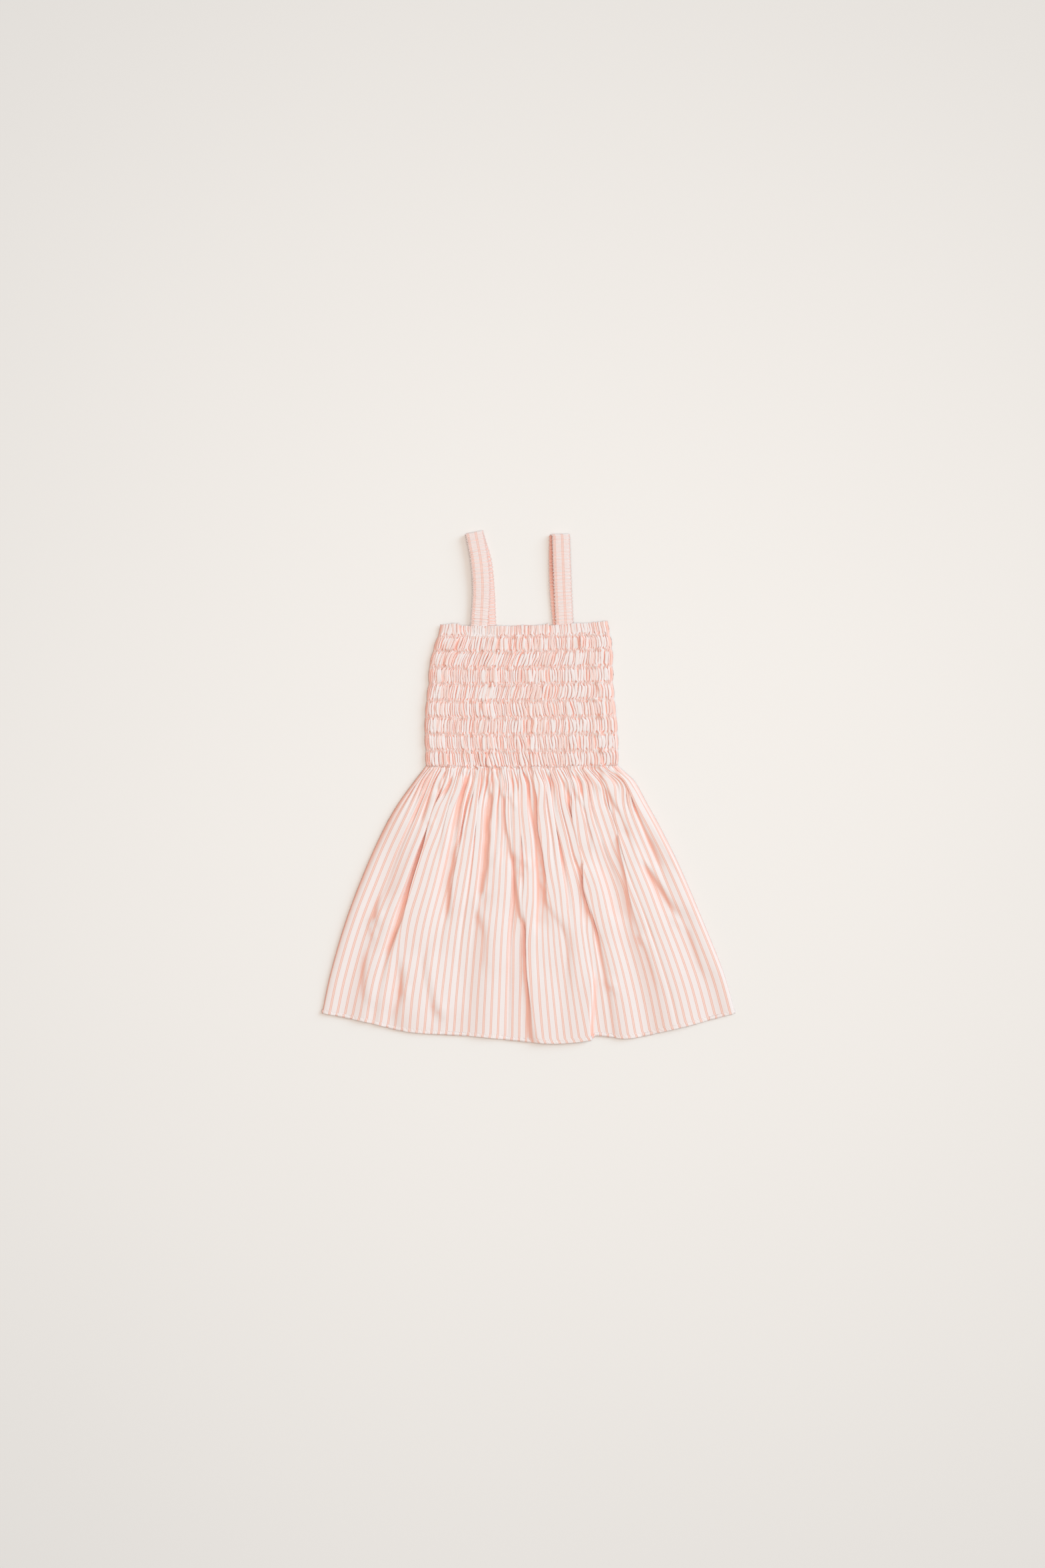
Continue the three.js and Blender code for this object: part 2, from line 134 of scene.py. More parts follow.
# Short creases across the folds, and one below a strap's end: the left end, the right end, the
# height and the reach of the gentle flank above.
CREASES = (
    (-16, -77, 4, -89, 1.6, 6.0),
    (-8, -100, 4, -89, 1.3, 5.0),
    (-20, -8, -14, -25, 1.0, 4.0),
    (-179, -153, -161, -142, 1.6, 5.0),
    (-179, -153, -171, -171, 1.2, 4.0),
    (-113, -40, -105, -43, 1.2, 4.0),
    (-108, -244, -91, -259, 1.4, 6.0),
    (-144, -227, -134, -234, 1.2, 5.0),
    (125, -167, 129, -177, 1.2, 6.0),
    (85, -218, 102, -231, 1.5, 6.0),
    (134, -34, 175, -107, 0.9, 5.0),
    (157, -145, 177, -160, 1.0, 7.0),
    (-59, -133, -46, -111, 1.2, 6.0),
    (-38, -88, -31, -70, 1.0, 5.0),
    (78, 3, 85, -4, 1.0, 3.0),
    (-49, 167, -35, 163, 1.2, 3.0),
)

# Cut of one panel, and its gathers.
CUT_WIDTH = 510.0  # from side seam to side seam
BODICE_CUT = 168.0
SKIRT_CUT = 306.0
FRONT_GATHERS = 66
BACK_GATHERS = 80
GATHER = CUT_WIDTH / FRONT_GATHERS  # cloth in one gather
BACK_GATHER = CUT_WIDTH / BACK_GATHERS
BROAD = 20.0  # half the stretch of cloth over which the gathers are spread evenly
STEEPEST = 2.3  # the greatest factor on the slopes of a row's pleats

# Laid lengths.
BANDS = len(ROWS) - 1
HEADER = 12.5  # from the top edge to the first row of elastic
ELASTIC_PITCH = 18.4  # from one row of elastic to the next
SKIRT_LENGTH = 310.0
PUFF = 1.1  # how far each band bulges at the sides between its two rows of elastic
ROW_FADE = 1.6  # on each side of a row, where one band's pleats turn into the next one's
HEADER_TURN = {"depth": 6.0, "drop": 1.4}
HEM_TURN = {"depth": 4.0, "drop": 1.0}
HEM_STITCHES = 3.9  # from the hem's edge up to its line of stitches
HEM_BAND = 6.0  # at the hem, where the rows of points lie close together
PAST_HEM = -280.0  # a fold that ends below this height runs on to the hem at its full strength
FOLD_FADE = 0.32  # the share of any other fold's length over which it comes and goes
CREASE_STEEP = 2.6  # the reach of a short crease's steep flank

# Columns of points across each panel, and rows of points in each band of the bodice.
FRONT_COLUMNS = 655
FRONT_STEPS = 8
FRONT_SKIRT_COLUMNS = 599
BACK_COLUMNS = 560
BACK_STEPS = 7
BACK_SKIRT_COLUMNS = 400
SKIRT_ROWS = 71  # from the waist to the hem's band
HEM_ROWS = 7

# Seeds of the unevenness.
FRONT_SEED = 11
BACK_SEED = 211

# The strap ends sewn behind the header press it flatter: left, right, bottom, top and how much.
STRAP_ENDS = ((-65.0, -35.0, 167.5, 178.5, 0.85), (27.0, 52.0, 169.5, 181.0, 0.4))

# Heights above the table. A crown gives the cloth's height at shares of the panel's length.
FRONT_BASE = 3.2
FRONT_CROWN = ((-0.01, 3.2), (0.0, 4.05), (0.04, 4.2), (0.3, 4.3), (0.6, 3.6), (0.9, 2.4), (1.0, 1.7))
BACK_BODICE_CROWN = ((0.0, 2.9), (1.0, 2.9))
BACK_CROWN = ((0.0, 2.9), (0.05, 2.7), (0.2, 2.2), (0.6, 2.0), (1.0, 1.2))
BACK_RELIEF = ((0.0, 0.4), (1.0, 0.1))
BACK_LOWEST = 0.3
SEAM_HEIGHT = 1.6
HIGHEST = 11.0
MOST_RELIEF = 6.0
CLOTH = 0.35  # thickness

# How much of the folds' height is left on the skirts, and the folds that the back has too.
FRONT_FOLD_SHARE = 0.7
BACK_FOLD_SHARE = 0.3
BACK_FOLDS = ("left middle", "centre upper", "right hollow", "lower hollow")

# How hollow cloth is marked for the painted shade in its colour: the cell in which the cloth's
# top is read, the reach in which the highest top is taken, the depth that counts as 1, the same
# for broad hollows, the most that a mark can be, and the share of painted shade that a flank
# turned to the window's light gets.
BODICE_SHADE_MARKS = {"cell": 0.6, "reach": 1.8, "deepest": 1.25, "broad": 60.0, "most": 1.5, "lit": 0.9}
SKIRT_SHADE_MARKS = {"cell": 1.0, "reach": 2.5, "deepest": 2.6, "broad": 24.0, "most": 2.0, "lit": 0.3}
BROAD_CELL = 3.0
BROAD_REACH = 12.0

# How strong the cloth's colours are, from 0 to 1, and how strong the stripes are where the cloth is
# gathered, as a share of the open cloth's. The hollow and slit strengths are painted shade.
CORE_STRENGTH = 0.75
LINE_STRENGTH = 0.6
LINE_UNEVEN = 0.5
HOLLOW_SHADE_STRENGTH = 0.74
SLIT_SHADE_STRENGTH = 0.7
BODICE_BOLD = 0.66
STRAP_BOLD = 0.68

# Stitches: pitch and length along the cloth, height above it, and the thread's radius.
ELASTIC_STITCH = {"pitch": 3.3, "span": 2.4, "lift": 0.12, "radius": 0.16}
HEM_STITCH = {"pitch": 2.9, "span": 2.3, "lift": 0.1, "radius": 0.17}

# Straps: the heights of both runs' middle lines, how far the front run rises towards the shoulder,
# the ribs, and the points along each rib and around the strap.
FRONT_RUN = 3.5
BACK_RUN = 1.25
STRAP_LOFT = 1.3
STRAP_WIDTH = 19.5
STRAP_CUT = 290.0
STRAP_STRIPE = 1.4  # how far right of its middle line a strap's stripe runs
STRAP_PULL = 1.2  # how far the gathers pull a strap's edges in
STRAP_HALF = 0.4  # half of a strap's thickness in a gather
RIB_PITCH = 1.3
RIB_WIDE = 2.1  # how far a rib pushes the edges out
RIB_HIGH = 0.7  # how far a rib stands out of the strap's face
# How strong the painted shade between the ribs is.
RIB_SHADE = 0.75
RIB_POINTS = 5
STRAP_AROUND = 40

# Each strap's middle line, from the shoulder fold to the top edge: height, front run, back run.
STRAPS = {
    "strap_left": np.array(
        [(283.7, -60.6, -60.6), (253.0, -55.0, -51.6), (221.0, -53.0, -48.2), (176.0, -55.6, -46.4)]
    ),
    "strap_right": np.array(
        [(281.6, 36.4, 33.4), (253.0, 37.3, 32.7), (218.0, 38.7, 33.7), (176.0, 40.8, 37.8)]
    ),
}

# Stage, in metres: the camera stands over the photo's centre, and its height gives the photo's
# frame, 1.764 m tall.
CAMERA_OVER = (-6.75 * MM, 3.0 * MM)
CAMERA_HEIGHT = 2.45
CAMERA_LENS = 50.0
FLOOR_HALF = 3.0
FLOOR_HEIGHT = -0.2 * MM
WORLD_STRENGTH = 0.45
WORLD_COLOUR = (1.0, 0.85, 0.75)
OVERHEAD = {"place": (0.1, 0.05, 2.0), "size": 1.2, "power": 20.6, "colour": (1.0, 0.96, 0.925)}
SUN = {"toward": (0.92, 0.42, 0.5), "angle": 35.0, "strength": 1.74, "colour": (0.66, 1.0, 1.21)}


def smooth(x, low=0.0, high=1.0):
    """0 on low's side, 1 on high's side and a soft S between them."""
    t = np.clip((x - low) / (high - low), 0.0, 1.0)
    return t * t * (3.0 - 2.0 * t)


def curve(keys, values, at):
    """A smooth curve through the points (keys, values): a cubic on each stretch, whose slopes are
    those of the chord between the points before and after."""
    if keys[0] > keys[-1]:
        keys, values = keys[::-1], values[::-1]
    slopes = np.empty(len(keys))
    slopes[1:-1] = (values[2:] - values[:-2]) / (keys[2:] - keys[:-2])
    slopes[0] = (values[1] - values[0]) / (keys[1] - keys[0])
    slopes[-1] = (values[-1] - values[-2]) / (keys[-1] - keys[-2])
    at = np.clip(at, keys[0], keys[-1])
    i = np.clip(np.searchsorted(keys, at, side="right") - 1, 0, len(keys) - 2)
    span = keys[i + 1] - keys[i]
    t = (at - keys[i]) / span
    t2, t3 = t * t, t * t * t
    return (
        values[i] * (2 * t3 - 3 * t2 + 1)
        + slopes[i] * span * (t3 - 2 * t2 + t)
        + values[i + 1] * (3 * t2 - 2 * t3)
        + slopes[i + 1] * span * (t3 - t2)
    )


def bow(a, b, c, t):
    """The parabola through (0, a), (0.5, b) and (1, c)."""
    return a * (1 - t) * (1 - 2 * t) + 4 * b * t * (1 - t) + c * t * (2 * t - 1)


def wander(u, seed, length, waves=5):
    """An uneven line of about unit height: a sum of sines whose lengths are 0.6 to 1.8 times the
    given one, each with its own start."""
    draw = np.random.default_rng(seed)
    lengths = length * draw.uniform(0.6, 1.8, waves)
    starts = draw.uniform(0.0, 2.0 * np.pi, waves)
    return np.sin(2.0 * np.pi * u[..., None] / lengths + starts).sum(-1) / math.sqrt(waves / 2)


def spots(u, seed, count, width):
    """0 nearly everywhere, and 1 at a few places spread at random over the cut's width."""
    draw = np.random.default_rng(seed)
    places = draw.uniform(0.03, 0.97, count) * CUT_WIDTH
    return np.exp(-(((u[..., None] - places) / width) ** 2)).max(-1)


def windows(field, half):
    """For each point of each row, the points up to half a window away on both sides."""
    padded = np.pad(field, ((0, 0), (half, half)), mode="edge")
    return np.lib.stride_tricks.sliding_window_view(padded, 2 * half + 1, axis=1)


def floor_under(field, half):
    """A soft line under each row: the lowest point within the window, then its running mean."""
    lowest = windows(field, half).min(-1)
    return windows(lowest, half).mean(-1)


def slide(field, half):
    """The running mean down the rows."""
    return windows(field.T, half).mean(-1).T


def run(slopes, step):
    """Across and up positions along rows of cloth whose slope angles are given: the running sums of
    cosine and sine times the step of cloth."""
    middle = (slopes[:, 1:] + slopes[:, :-1]) / 2
    start = np.zeros((len(slopes), 1))
    across = np.hstack([start, np.cumsum(np.cos(middle), axis=1)]) * step
    up = np.hstack([start, np.cumsum(np.sin(middle), axis=1)]) * step
    return across, up


def pleats(turns, inside=0.46):
    """Slopes of a row of pleats with flat crests between narrow slits, one a turn. inside is the
    share of the cloth that goes down into the slit and up again."""
    off = turns - np.round(turns)
    away = np.abs(off)
    beside_crest = smooth(away, inside / 2 + 0.09, inside / 2 - 0.05)
    return 1.2 * np.sign(off) * smooth(away, 0.0, 0.1) * beside_crest


def gathered(wave, fixed, share, most):
    """The slopes wave * m + fixed, with each row's m found by halving so that the cloth covers the
    given share of its own width, or as near as the greatest m allows."""
    low = np.zeros((len(wave), 1))
    high = np.broadcast_to(most, (len(wave), 1)).copy()
    for _ in range(24):
        middle = (low + high) / 2
        wide = np.cos(wave * middle + fixed).mean(1, keepdims=True) > share
        low, high = np.where(wide, middle, low), np.where(wide, high, middle)
    return wave * (low + high) / 2 + fixed


def rounded(across, width, reach):
    """0 at both side seams, rising as a quarter circle to 1 at the given reach inside them."""
    near = np.clip(np.minimum(across, width - across) / reach, 0.0, 1.0)
    return np.sqrt(1.0 - (1.0 - near) ** 2)


def crown_at(crown, share):
    """A crown's height at a share of the length, on straight lines between its points."""
    shares, heights = zip(*crown)
    return np.interp(share, shares, heights)


def broad_mean(s, step):
    """The running mean along each row, over the stretch in which gathers are spread evenly."""
    return windows(s, int(round(BROAD / step))).mean(-1)


def even_share(u, step):
    """The broad mean of the share of the width at each column where the cloth is spread evenly."""
    return broad_mean(np.clip(u / CUT_WIDTH, 0.0, 1.0), step)


def spread(s, wanted, step):
    """The places along each row, moved so that their broad mean is the wanted one. Those at the
    side seams stay."""
    return s - (broad_mean(s, step) - wanted) * np.sqrt(np.clip(4.0 * s * (1.0 - s), 0.0, 1.0))


def panel_of(x, y, z, u, v, shade_weight):
    """A panel: for each of its points the place, the place on the cloth, and how much of the
    hollows' painted shade it takes."""
    values = {"x": x, "y": y, "z": z, "u": u, "v": v, "shade_weight": shade_weight}
    return {key: value + 0 * x for key, value in values.items()}


def fanned(s, down, left, right):
    """The places along each row of the skirt, moved so that its lines run nearly straight down from
    the waist and only the cloth near the side seams fans out with them."""
    s = np.clip(s, 0.0, 1.0)
    waist = dict(zip(ROW_COLUMNS, ROWS["waist"]))
    along = down * (1.0 - 0.5 * np.exp(-down / 0.12))
    power = 4.0 + 10.0 * np.exp(-down / 0.15)
    left_bulge = waist["left"] + (HEM[0, 0] - waist["left"]) * along - left
    right_bulge = right - waist["right"] - (HEM[-1, 0] - waist["right"]) * along
    shift = right_bulge * (s**power - s) - left_bulge * ((1.0 - s) ** power - (1.0 - s))
    return s + shift / (right - left)


def creases(x, y):
    """The height of the short creases: each has a gentle flank above and a steep one below."""
    height = 0.0 * x
    for x1, y1, x2, y2, rise, gentle in CREASES:
        long = math.hypot(x2 - x1, y2 - y1)
        along = ((x - x1) * (x2 - x1) + (y - y1) * (y2 - y1)) / long**2
        off = ((y - y1) * (x2 - x1) - (x - x1) * (y2 - y1)) / long
        flank = np.exp(-((off / np.where(off > 0, gentle, CREASE_STEEP)) ** 2))
        height += rise * flank * smooth(along, -0.15, 0.3) * smooth(-along, -1.15, -0.7)
    return height


def bodice_levels(steps):
    """Places from the top edge (0) over the rows of elastic (1, 2 and so on) to the waist. They are
    closer together near each row."""
    close = (1.0 - np.cos(np.pi * np.arange(steps) / steps)) / 2
    within = (close + np.arange(steps) / steps) / 2
    return np.append((np.arange(BANDS)[:, None] + within).ravel(), BANDS)[:, None]


def bodice_pleats(u, level, band_length, gather, seed):
    """Slopes of the bodice's pleats. Those of each band have their own starts and leans, and a few
    lower ones, and turn into the next band's at the row between them."""
    wave = np.zeros((len(level), u.shape[1]))
    for band in range(BANDS):
        inside = smooth((band + 1 - level) * band_length, -ROW_FADE, ROW_FADE)
        if band > 0:
            inside = inside * smooth((level - band) * band_length, -ROW_FADE, ROW_FADE)
        local = np.clip(level - band, 0.0, 1.0)
        turns = u / gather + 0.35 * wander(u, seed + 100, 12 * gather)
        turns = turns + 0.1 * wander(u, seed + band, 2.6 * gather)
        turns = turns + 0.12 * wander(u, seed + 20 + band, 9 * gather)
        turns = turns + 0.05 * wander(u, seed + 40 + band, 3 * gather) * np.cos(np.pi * local)
        height = 1.0 - 0.3 * spots(u, seed + 60 + band, 4, 0.6 * gather)
        wave += inside * height * pleats(turns)
    return wave


def over_strap_ends(relief, x, y):
    """The header's relief, pressed flatter where a strap's end is sewn behind it."""
    for left, right, bottom, top, share in STRAP_ENDS:
        inside = smooth(x, left - 1.0, left + 1.0) * smooth(-x, -right - 1.0, -right + 1.0)
        inside = inside * smooth(y, bottom - 0.8, bottom + 0.8) * smooth(-y, -top - 0.8, -top + 0.8)
        relief = relief * (1.0 - share * inside) + 1.1 * share * inside
    return relief


def under_highest(z):
    """The heights, eased over their last 2 mm so that none passes the highest."""
    over = z - HIGHEST + 2
    return HIGHEST - 2 + 2 * np.tanh(over / 2) * (z > HIGHEST - 2) + np.minimum(over, 0.0)


def bodice(columns, steps, seed, base, scale, lifted, gather):
    """The smocked bodice as a panel. Each row's slopes are those of a row of pleats, one for each
    gather, scaled so that the cloth just fills the row's width. On a row of elastic they turn twice
    as fast, so the gathers there are half as high. base is the height under the gathers, scale the
    share of their full height, and lifted how much the cloth under them rises with the rows."""
    u = np.linspace(0.0, CUT_WIDTH, columns)[None, :]
    step = CUT_WIDTH / (columns - 1)
    level = bodice_levels(steps)
    table = np.array(list(ROWS.values()))
    row = {
        name: np.interp(level, np.arange(BANDS + 1), table[:, i]) for i, name in enumerate(ROW_COLUMNS)
    }
    within = level - np.floor(level)
    band_length = np.where(level < 1, HEADER, ELASTIC_PITCH)
    swell = np.sin(np.pi * within) * (level >= 1)
    from_row = np.abs(level - np.round(level)) * band_length
    on_row = 0.85 * np.exp(-((from_row / 2.2) ** 2)) * (level > 0.5)

    twice = 4.0 * np.pi * (u / gather + 0.25 * wander(u, seed + 90, 3 * gather))
    wave = bodice_pleats(u, level, band_length, gather, seed)
    wave = wave * (1.0 - on_row) + np.sin(twice + 3.0 * level) * on_row
    width = row["right"] - row["left"] + 2.0 * PUFF * swell
    across, up = run(gathered(wave, 0.0, width / CUT_WIDTH, STEEPEST), step)
    s = spread(across / across[:, -1:], even_share(u, step), step)

    bend = 4.0 * s * (1.0 - s)
    wiggle = 0.5 * wander(u, seed + 70, 7 * gather) * np.sin(np.pi * within)
    wiggle = wiggle + 0.3 * wander(u, seed + 71, 5 * gather) * np.sin(2.0 * np.pi * within)
    x = row["left"] - PUFF * swell + width * s + bend * (row["drift"] + wiggle * (level >= 1))
    relief = up - floor_under(up, int(round(1.3 * gather / step)))
    ruffle = 0.7 * (relief - relief.mean()) * np.exp(-((level * band_length / 2.5) ** 2))
    y = bow(row["y_left"], row["y_mid"], row["y_right"], s) + ruffle

    swell = np.sqrt(np.clip(swell, 0.0, 1.0))
    relief = over_strap_ends(relief * (0.7 + 0.3 * swell), x, y)
    lift = lifted * (1.4 * on_row + 0.5 * swell)
    edge = rounded(np.clip(s, 0.0, 1.0) * width, width, 6.0)
    z = under_highest(SEAM_HEIGHT + (base + scale * (relief + lift) - SEAM_HEIGHT) * edge)
    # Painted shade is weaker close to the rows of elastic.
    shade_weight = 1.0 - 0.75 * np.exp(-((from_row / 3.8) ** 2)) * (level > 0.5)
    return panel_of(x, y, z, u, level / BANDS * BODICE_CUT, shade_weight)


def fold_paths(names, down, top_height):
    """For each fold, on each row: where its lip lies across, its steepest slope, and the length of
    cloth that stands in it. The row's height is that of the lip's own place."""
    paths = []
    for name in names:
        fold = dict(zip(FOLD_COLUMNS, FOLDS[name]))
        knee = (fold["y2"] - fold["y1"]) / (fold["y3"] - fold["y1"])
        bend = (fold["x2"] - fold["x1"] - (fold["x3"] - fold["x1"]) * knee) / (knee * (knee - 1))
        x = np.full(down.shape, float(fold["x2"]))
        for _ in range(4):
            y = top_height + (curve(HEM[:, 0], HEM[:, 1], x) - top_height) * down
            t = (y - fold["y1"]) / (fold["y3"] - fold["y1"])
            inside = np.clip(t, -0.1, 1.1)
            x = fold["x1"] + (fold["x3"] - fold["x1"]) * inside + bend * inside * (inside - 1)
        top_in = 1.0 if fold["y1"] > 0 else smooth(t, 0.0, FOLD_FADE)
        end_out = 1.0 if fold["y3"] < PAST_HEM else smooth(1.0 - t, 0.0, FOLD_FADE)
        t = np.clip(t, 0.0, 1.0)
        turn = np.radians(bow(fold["turn1"], fold["turn2"], fold["turn3"], t)) * top_in * end_out
        rise = fold["rise1"] + (fold["rise3"] - fold["rise1"]) * t
        paths.append((x, turn, rise))
    return paths


def read_at(field, place, step):
    """The value of each row of the field at its own distance along the cloth, read on a line
    between the two nearest columns."""
    place = np.clip(place / step, 0.0, field.shape[1] - 1.001)
    i = np.floor(place).astype(int)
    left = np.take_along_axis(field, i, 1)
    right = np.take_along_axis(field, i + 1, 1)
    return left + (right - left) * (place - i)


def skirt_rows():
    """Shares of the skirt's length for the rows of the mesh: close below the waist and at the hem.
    The first lies just above the waist, under the bodice's edge."""
    share = np.arange(SKIRT_ROWS) / (SKIRT_ROWS - 1)
    to_hem = SKIRT_LENGTH - HEM_BAND
    hem = np.linspace(to_hem, SKIRT_LENGTH, HEM_ROWS + 1)[1:]
    length = np.concatenate([[-1.2], to_hem * share * (0.45 + 0.55 * share), hem])
    return (length / SKIRT_LENGTH)[:, None]


def skirt_pleats(u, length, seed):
    """Slopes of the skirt's pleats: at the waist the bodice's, then pleats that die away downwards
    while others, twice and four times as wide, take over as gathers join in pairs."""
    single = u / GATHER + 0.22 * wander(u, seed + 1, 5 * GATHER)
    single = single + 0.3 * wander(u, seed + 2, 14 * GATHER)
    double = single / 2 + 0.22 * wander(u, seed + 3, 8 * GATHER)
    quadruple = single / 4 + 0.25 * wander(u, seed + 4, 12 * GATHER)
    single_reach = np.clip(22 + 10 * wander(u, seed + 5, 6 * GATHER), 8, 44)
    double_reach = np.clip(60 + 28 * wander(u, seed + 6, 9 * GATHER), 20, 120)
    quadruple_reach = np.clip(190 + 60 * wander(u, seed + 7, 14 * GATHER), 80, 300)
    uneven = np.clip(0.5 + 0.45 * wander(u, seed + 10, 9 * GATHER), 0.0, 1.0)
    deep = np.maximum(length, 0.0)
    wave = np.exp(-((deep / single_reach) ** 1.4)) * pleats(single)
    fade = np.exp(-((deep / double_reach) ** 1.6))
    wave += 0.9 * smooth(deep, 3, 20) * fade * pleats(double, 0.4)
    fade = np.exp(-((deep / quadruple_reach) ** 2))
    wave += uneven * smooth(deep, 15, 55) * fade * pleats(quadruple, 0.36)
    wave += 0.1 * smooth(deep, 60, 150) * wander(u, seed + 8, 9 * GATHER)
    turns = u / GATHER + 0.25 * wander(u, seed + 90, 3 * GATHER)
    at_waist = np.exp(-((length / 1.8) ** 2))
    return wave * (1 - at_waist) + np.sin(4.0 * np.pi * turns + 3.0 * BANDS) * at_waist


def with_folds(wave, u, paths, down, left, right):
    """The skirt's rows with the folds laid in: each point's place along its row, and its height.
    Each fold is a flat-topped bump in the slopes. Where its lip comes out beside its path, it is
    moved along the cloth and the rows are laid again."""
    step = CUT_WIDTH / (u.shape[1] - 1)
    width = right - left
    most = np.interp(down * SKIRT_LENGTH, (0, 15, 60, 140, 310), (STEEPEST, 2.2, 2.0, 1.8, 1.2))
    lips = [(x - left) / width * CUT_WIDTH for x, _, _ in paths]
    for _ in range(14):
        fixed = np.zeros(wave.shape)
        for (_, turn, rise), lip in zip(paths, lips):
            middle = lip - 0.35 * rise * np.sign(turn)
            bump = np.tanh((u - middle + rise / 2) / 1.8) - np.tanh((u - middle - rise / 2) / 1.8)
            fixed += turn * bump / 2
        across, up = run(gathered(wave, fixed, width / CUT_WIDTH, most), step)
        s = fanned(across / across[:, -1:], down, left, right)
        for i, (x, _, _) in enumerate(paths):
            off = left + width * read_at(s, lips[i], step) - x
            lips[i] = np.clip(slide(lips[i] - 0.7 * off, 1), 0.0, CUT_WIDTH)
    return s, up


def evened_down(field, above, half=14):
    """The running mean down the rows, taken three times, as if the row above went on upwards."""
    for _ in range(3):
        field = np.pad(field, ((0, half), (0, 0)), mode="reflect", reflect_type="odd")
        field = np.vstack([np.repeat(above, half, axis=0), field])
        field = np.lib.stride_tricks.sliding_window_view(field, 2 * half + 1, axis=0).mean(-1)
    return field


def hemmed(z, u, from_edge, seed):
    """The heights with the hem's small puckers, the ridge of its turned cloth and the groove along
    its stitches."""
    pucker = np.sin(2 * np.pi * (u / 4.7 + 0.3 * wander(u, seed + 9, 20.0)) + from_edge)
    z = z + 0.14 * pucker * np.exp(-(((from_edge - 2.5) / 2.2) ** 2))
    groove = np.exp(-(((from_edge - HEM_STITCHES) / 0.5) ** 2))
    return z + 0.2 * smooth(-from_edge, -4.3, -3.6) - 0.2 * groove


def skirt(columns, seed, names, crown, scale):
    """The gathered skirt as a panel. Each row's slopes are those of its pleats and of the named
    folds, and the pleats' are scaled so that the cloth just fills the row's width."""
    u = np.linspace(0.0, CUT_WIDTH, columns)[None, :]
    step = CUT_WIDTH / (columns - 1)
    down = skirt_rows()
    length = down * SKIRT_LENGTH
    waist = dict(zip(ROW_COLUMNS, ROWS["waist"]))
    y_left = waist["y_left"] + (HEM[0, 1] - waist["y_left"]) * down
    y_right = waist["y_right"] + (HEM[-1, 1] - waist["y_right"]) * down
    left = curve(SIDES[:, 0], SIDES[:, 1], y_left)
    right = curve(SIDES[:, 0], SIDES[:, 2], y_right)
    width = right - left

    paths = fold_paths(names, down, waist["y_mid"])
    s, up = with_folds(skirt_pleats(u, length, seed), u, paths, down, left, right)
    s = spread(s, evened_down(broad_mean(s, step), even_share(u, step)), step)
    s = s + (slide(s, 4) - s) * smooth(length, 1.0, 12.0)
    bend = 4.0 * s * (1.0 - s)
    x = left + width * s + waist["drift"] * bend * (1.0 - smooth(down, 0.0, 0.3))
    hem_x = HEM[0, 0] + (HEM[-1, 0] - HEM[0, 0]) * s
    y_top = bow(waist["y_left"], waist["y_mid"], waist["y_right"], s)
    y = y_top + (curve(HEM[:, 0], HEM[:, 1], hem_x) - y_top) * down

    relief = up - floor_under(up, int(round(22.0 / step)))
    z = crown_at(crown, down) + scale * MOST_RELIEF * np.tanh(relief / MOST_RELIEF)
    z = hemmed(z, u, (1.0 - down) * SKIRT_LENGTH, seed)
    edge = rounded(np.clip(s, 0, 1) * width, width, 14.0)
    z = SEAM_HEIGHT + (z - SEAM_HEIGHT) * edge
    return panel_of(x, y, z, u, BODICE_CUT + down * SKIRT_CUT, 1.0)


def turned_under(panel, last, depth, drop):
    """The panel with its last or first row's edge turned in: two more rows, one round the fold and
    one behind it, which drops below."""
    at = -1 if last else 0
    inward = 1.0 if last else -1.0
    edge = {key: panel[key][at : at + 1 or None] for key in ("x", "y", "z", "u", "v", "shade_weight")}
    middle = edge["z"].mean()
    more = []
    for share, fall in ((0.0, 0.5), (1.0, 1.0)):
        row = dict(edge)
        row["y"] = edge["y"] + inward * depth * share
        row["z"] = np.maximum(edge["z"] * 0.5 + middle * 0.5 - drop * fall, 0.4)
        row["v"] = edge["v"] + (1 if last else -1) * depth * (share + 0.1)
        more.append(row)
    grown = {}
    for key in edge:
        if last:
            grown[key] = np.vstack([panel[key], more[0][key], more[1][key]])
        else:
            grown[key] = np.vstack([more[1][key], more[0][key], panel[key]])
    return grown


def depth_below(panel, cell, reach):
    """How far each point lies below the highest cloth around it in its row, in millimetres. The
    cloth's top is read in cells across the row, and its highest is taken within the reach."""
    x, z = panel["x"], panel["z"]
    column = np.round((x - x.min()) / cell).astype(int)
    top = np.zeros((len(x), column.max() + 1))
    np.maximum.at(top, (np.arange(len(x))[:, None], column), z)
    around = floor_under(-top, int(round(reach / cell)))
    return np.maximum(-np.take_along_axis(around, column, 1) - z, 0.0)


def mark_painted_shade(piece, depth):
    """Keep each point's painted shade mark, such as its depth between gathers as a share."""
    layer = piece.data.attributes.new("Depth", "FLOAT", "POINT")
    layer.data.foreach_set("value", depth.astype(np.float32).ravel())


def hollows(panel, cell, reach, deepest, broad, most, lit):
    """The marks for painted shade in the cloth's colour: cloth deep between gathers, in broad
    hollows and on steep flanks, most on those turned away from the window's light."""
    climb = np.gradient(panel["z"], axis=1)
    slope = climb / np.hypot(climb, np.gradient(panel["x"], axis=1))
    steep = np.maximum(slope, -lit * slope)
    share = depth_below(panel, cell, reach) / deepest
    share = share + depth_below(panel, BROAD_CELL, BROAD_REACH) / broad
    return np.minimum(share * panel["shade_weight"] + 0.8 * steep**1.5, most)


def top_edge_painted_shade(panel):
    """The back's painted shade marks: it shows only along its top edge, as a darker line of shade."""
    return 0.9 * smooth(panel["v"], 7.0, 3.0)


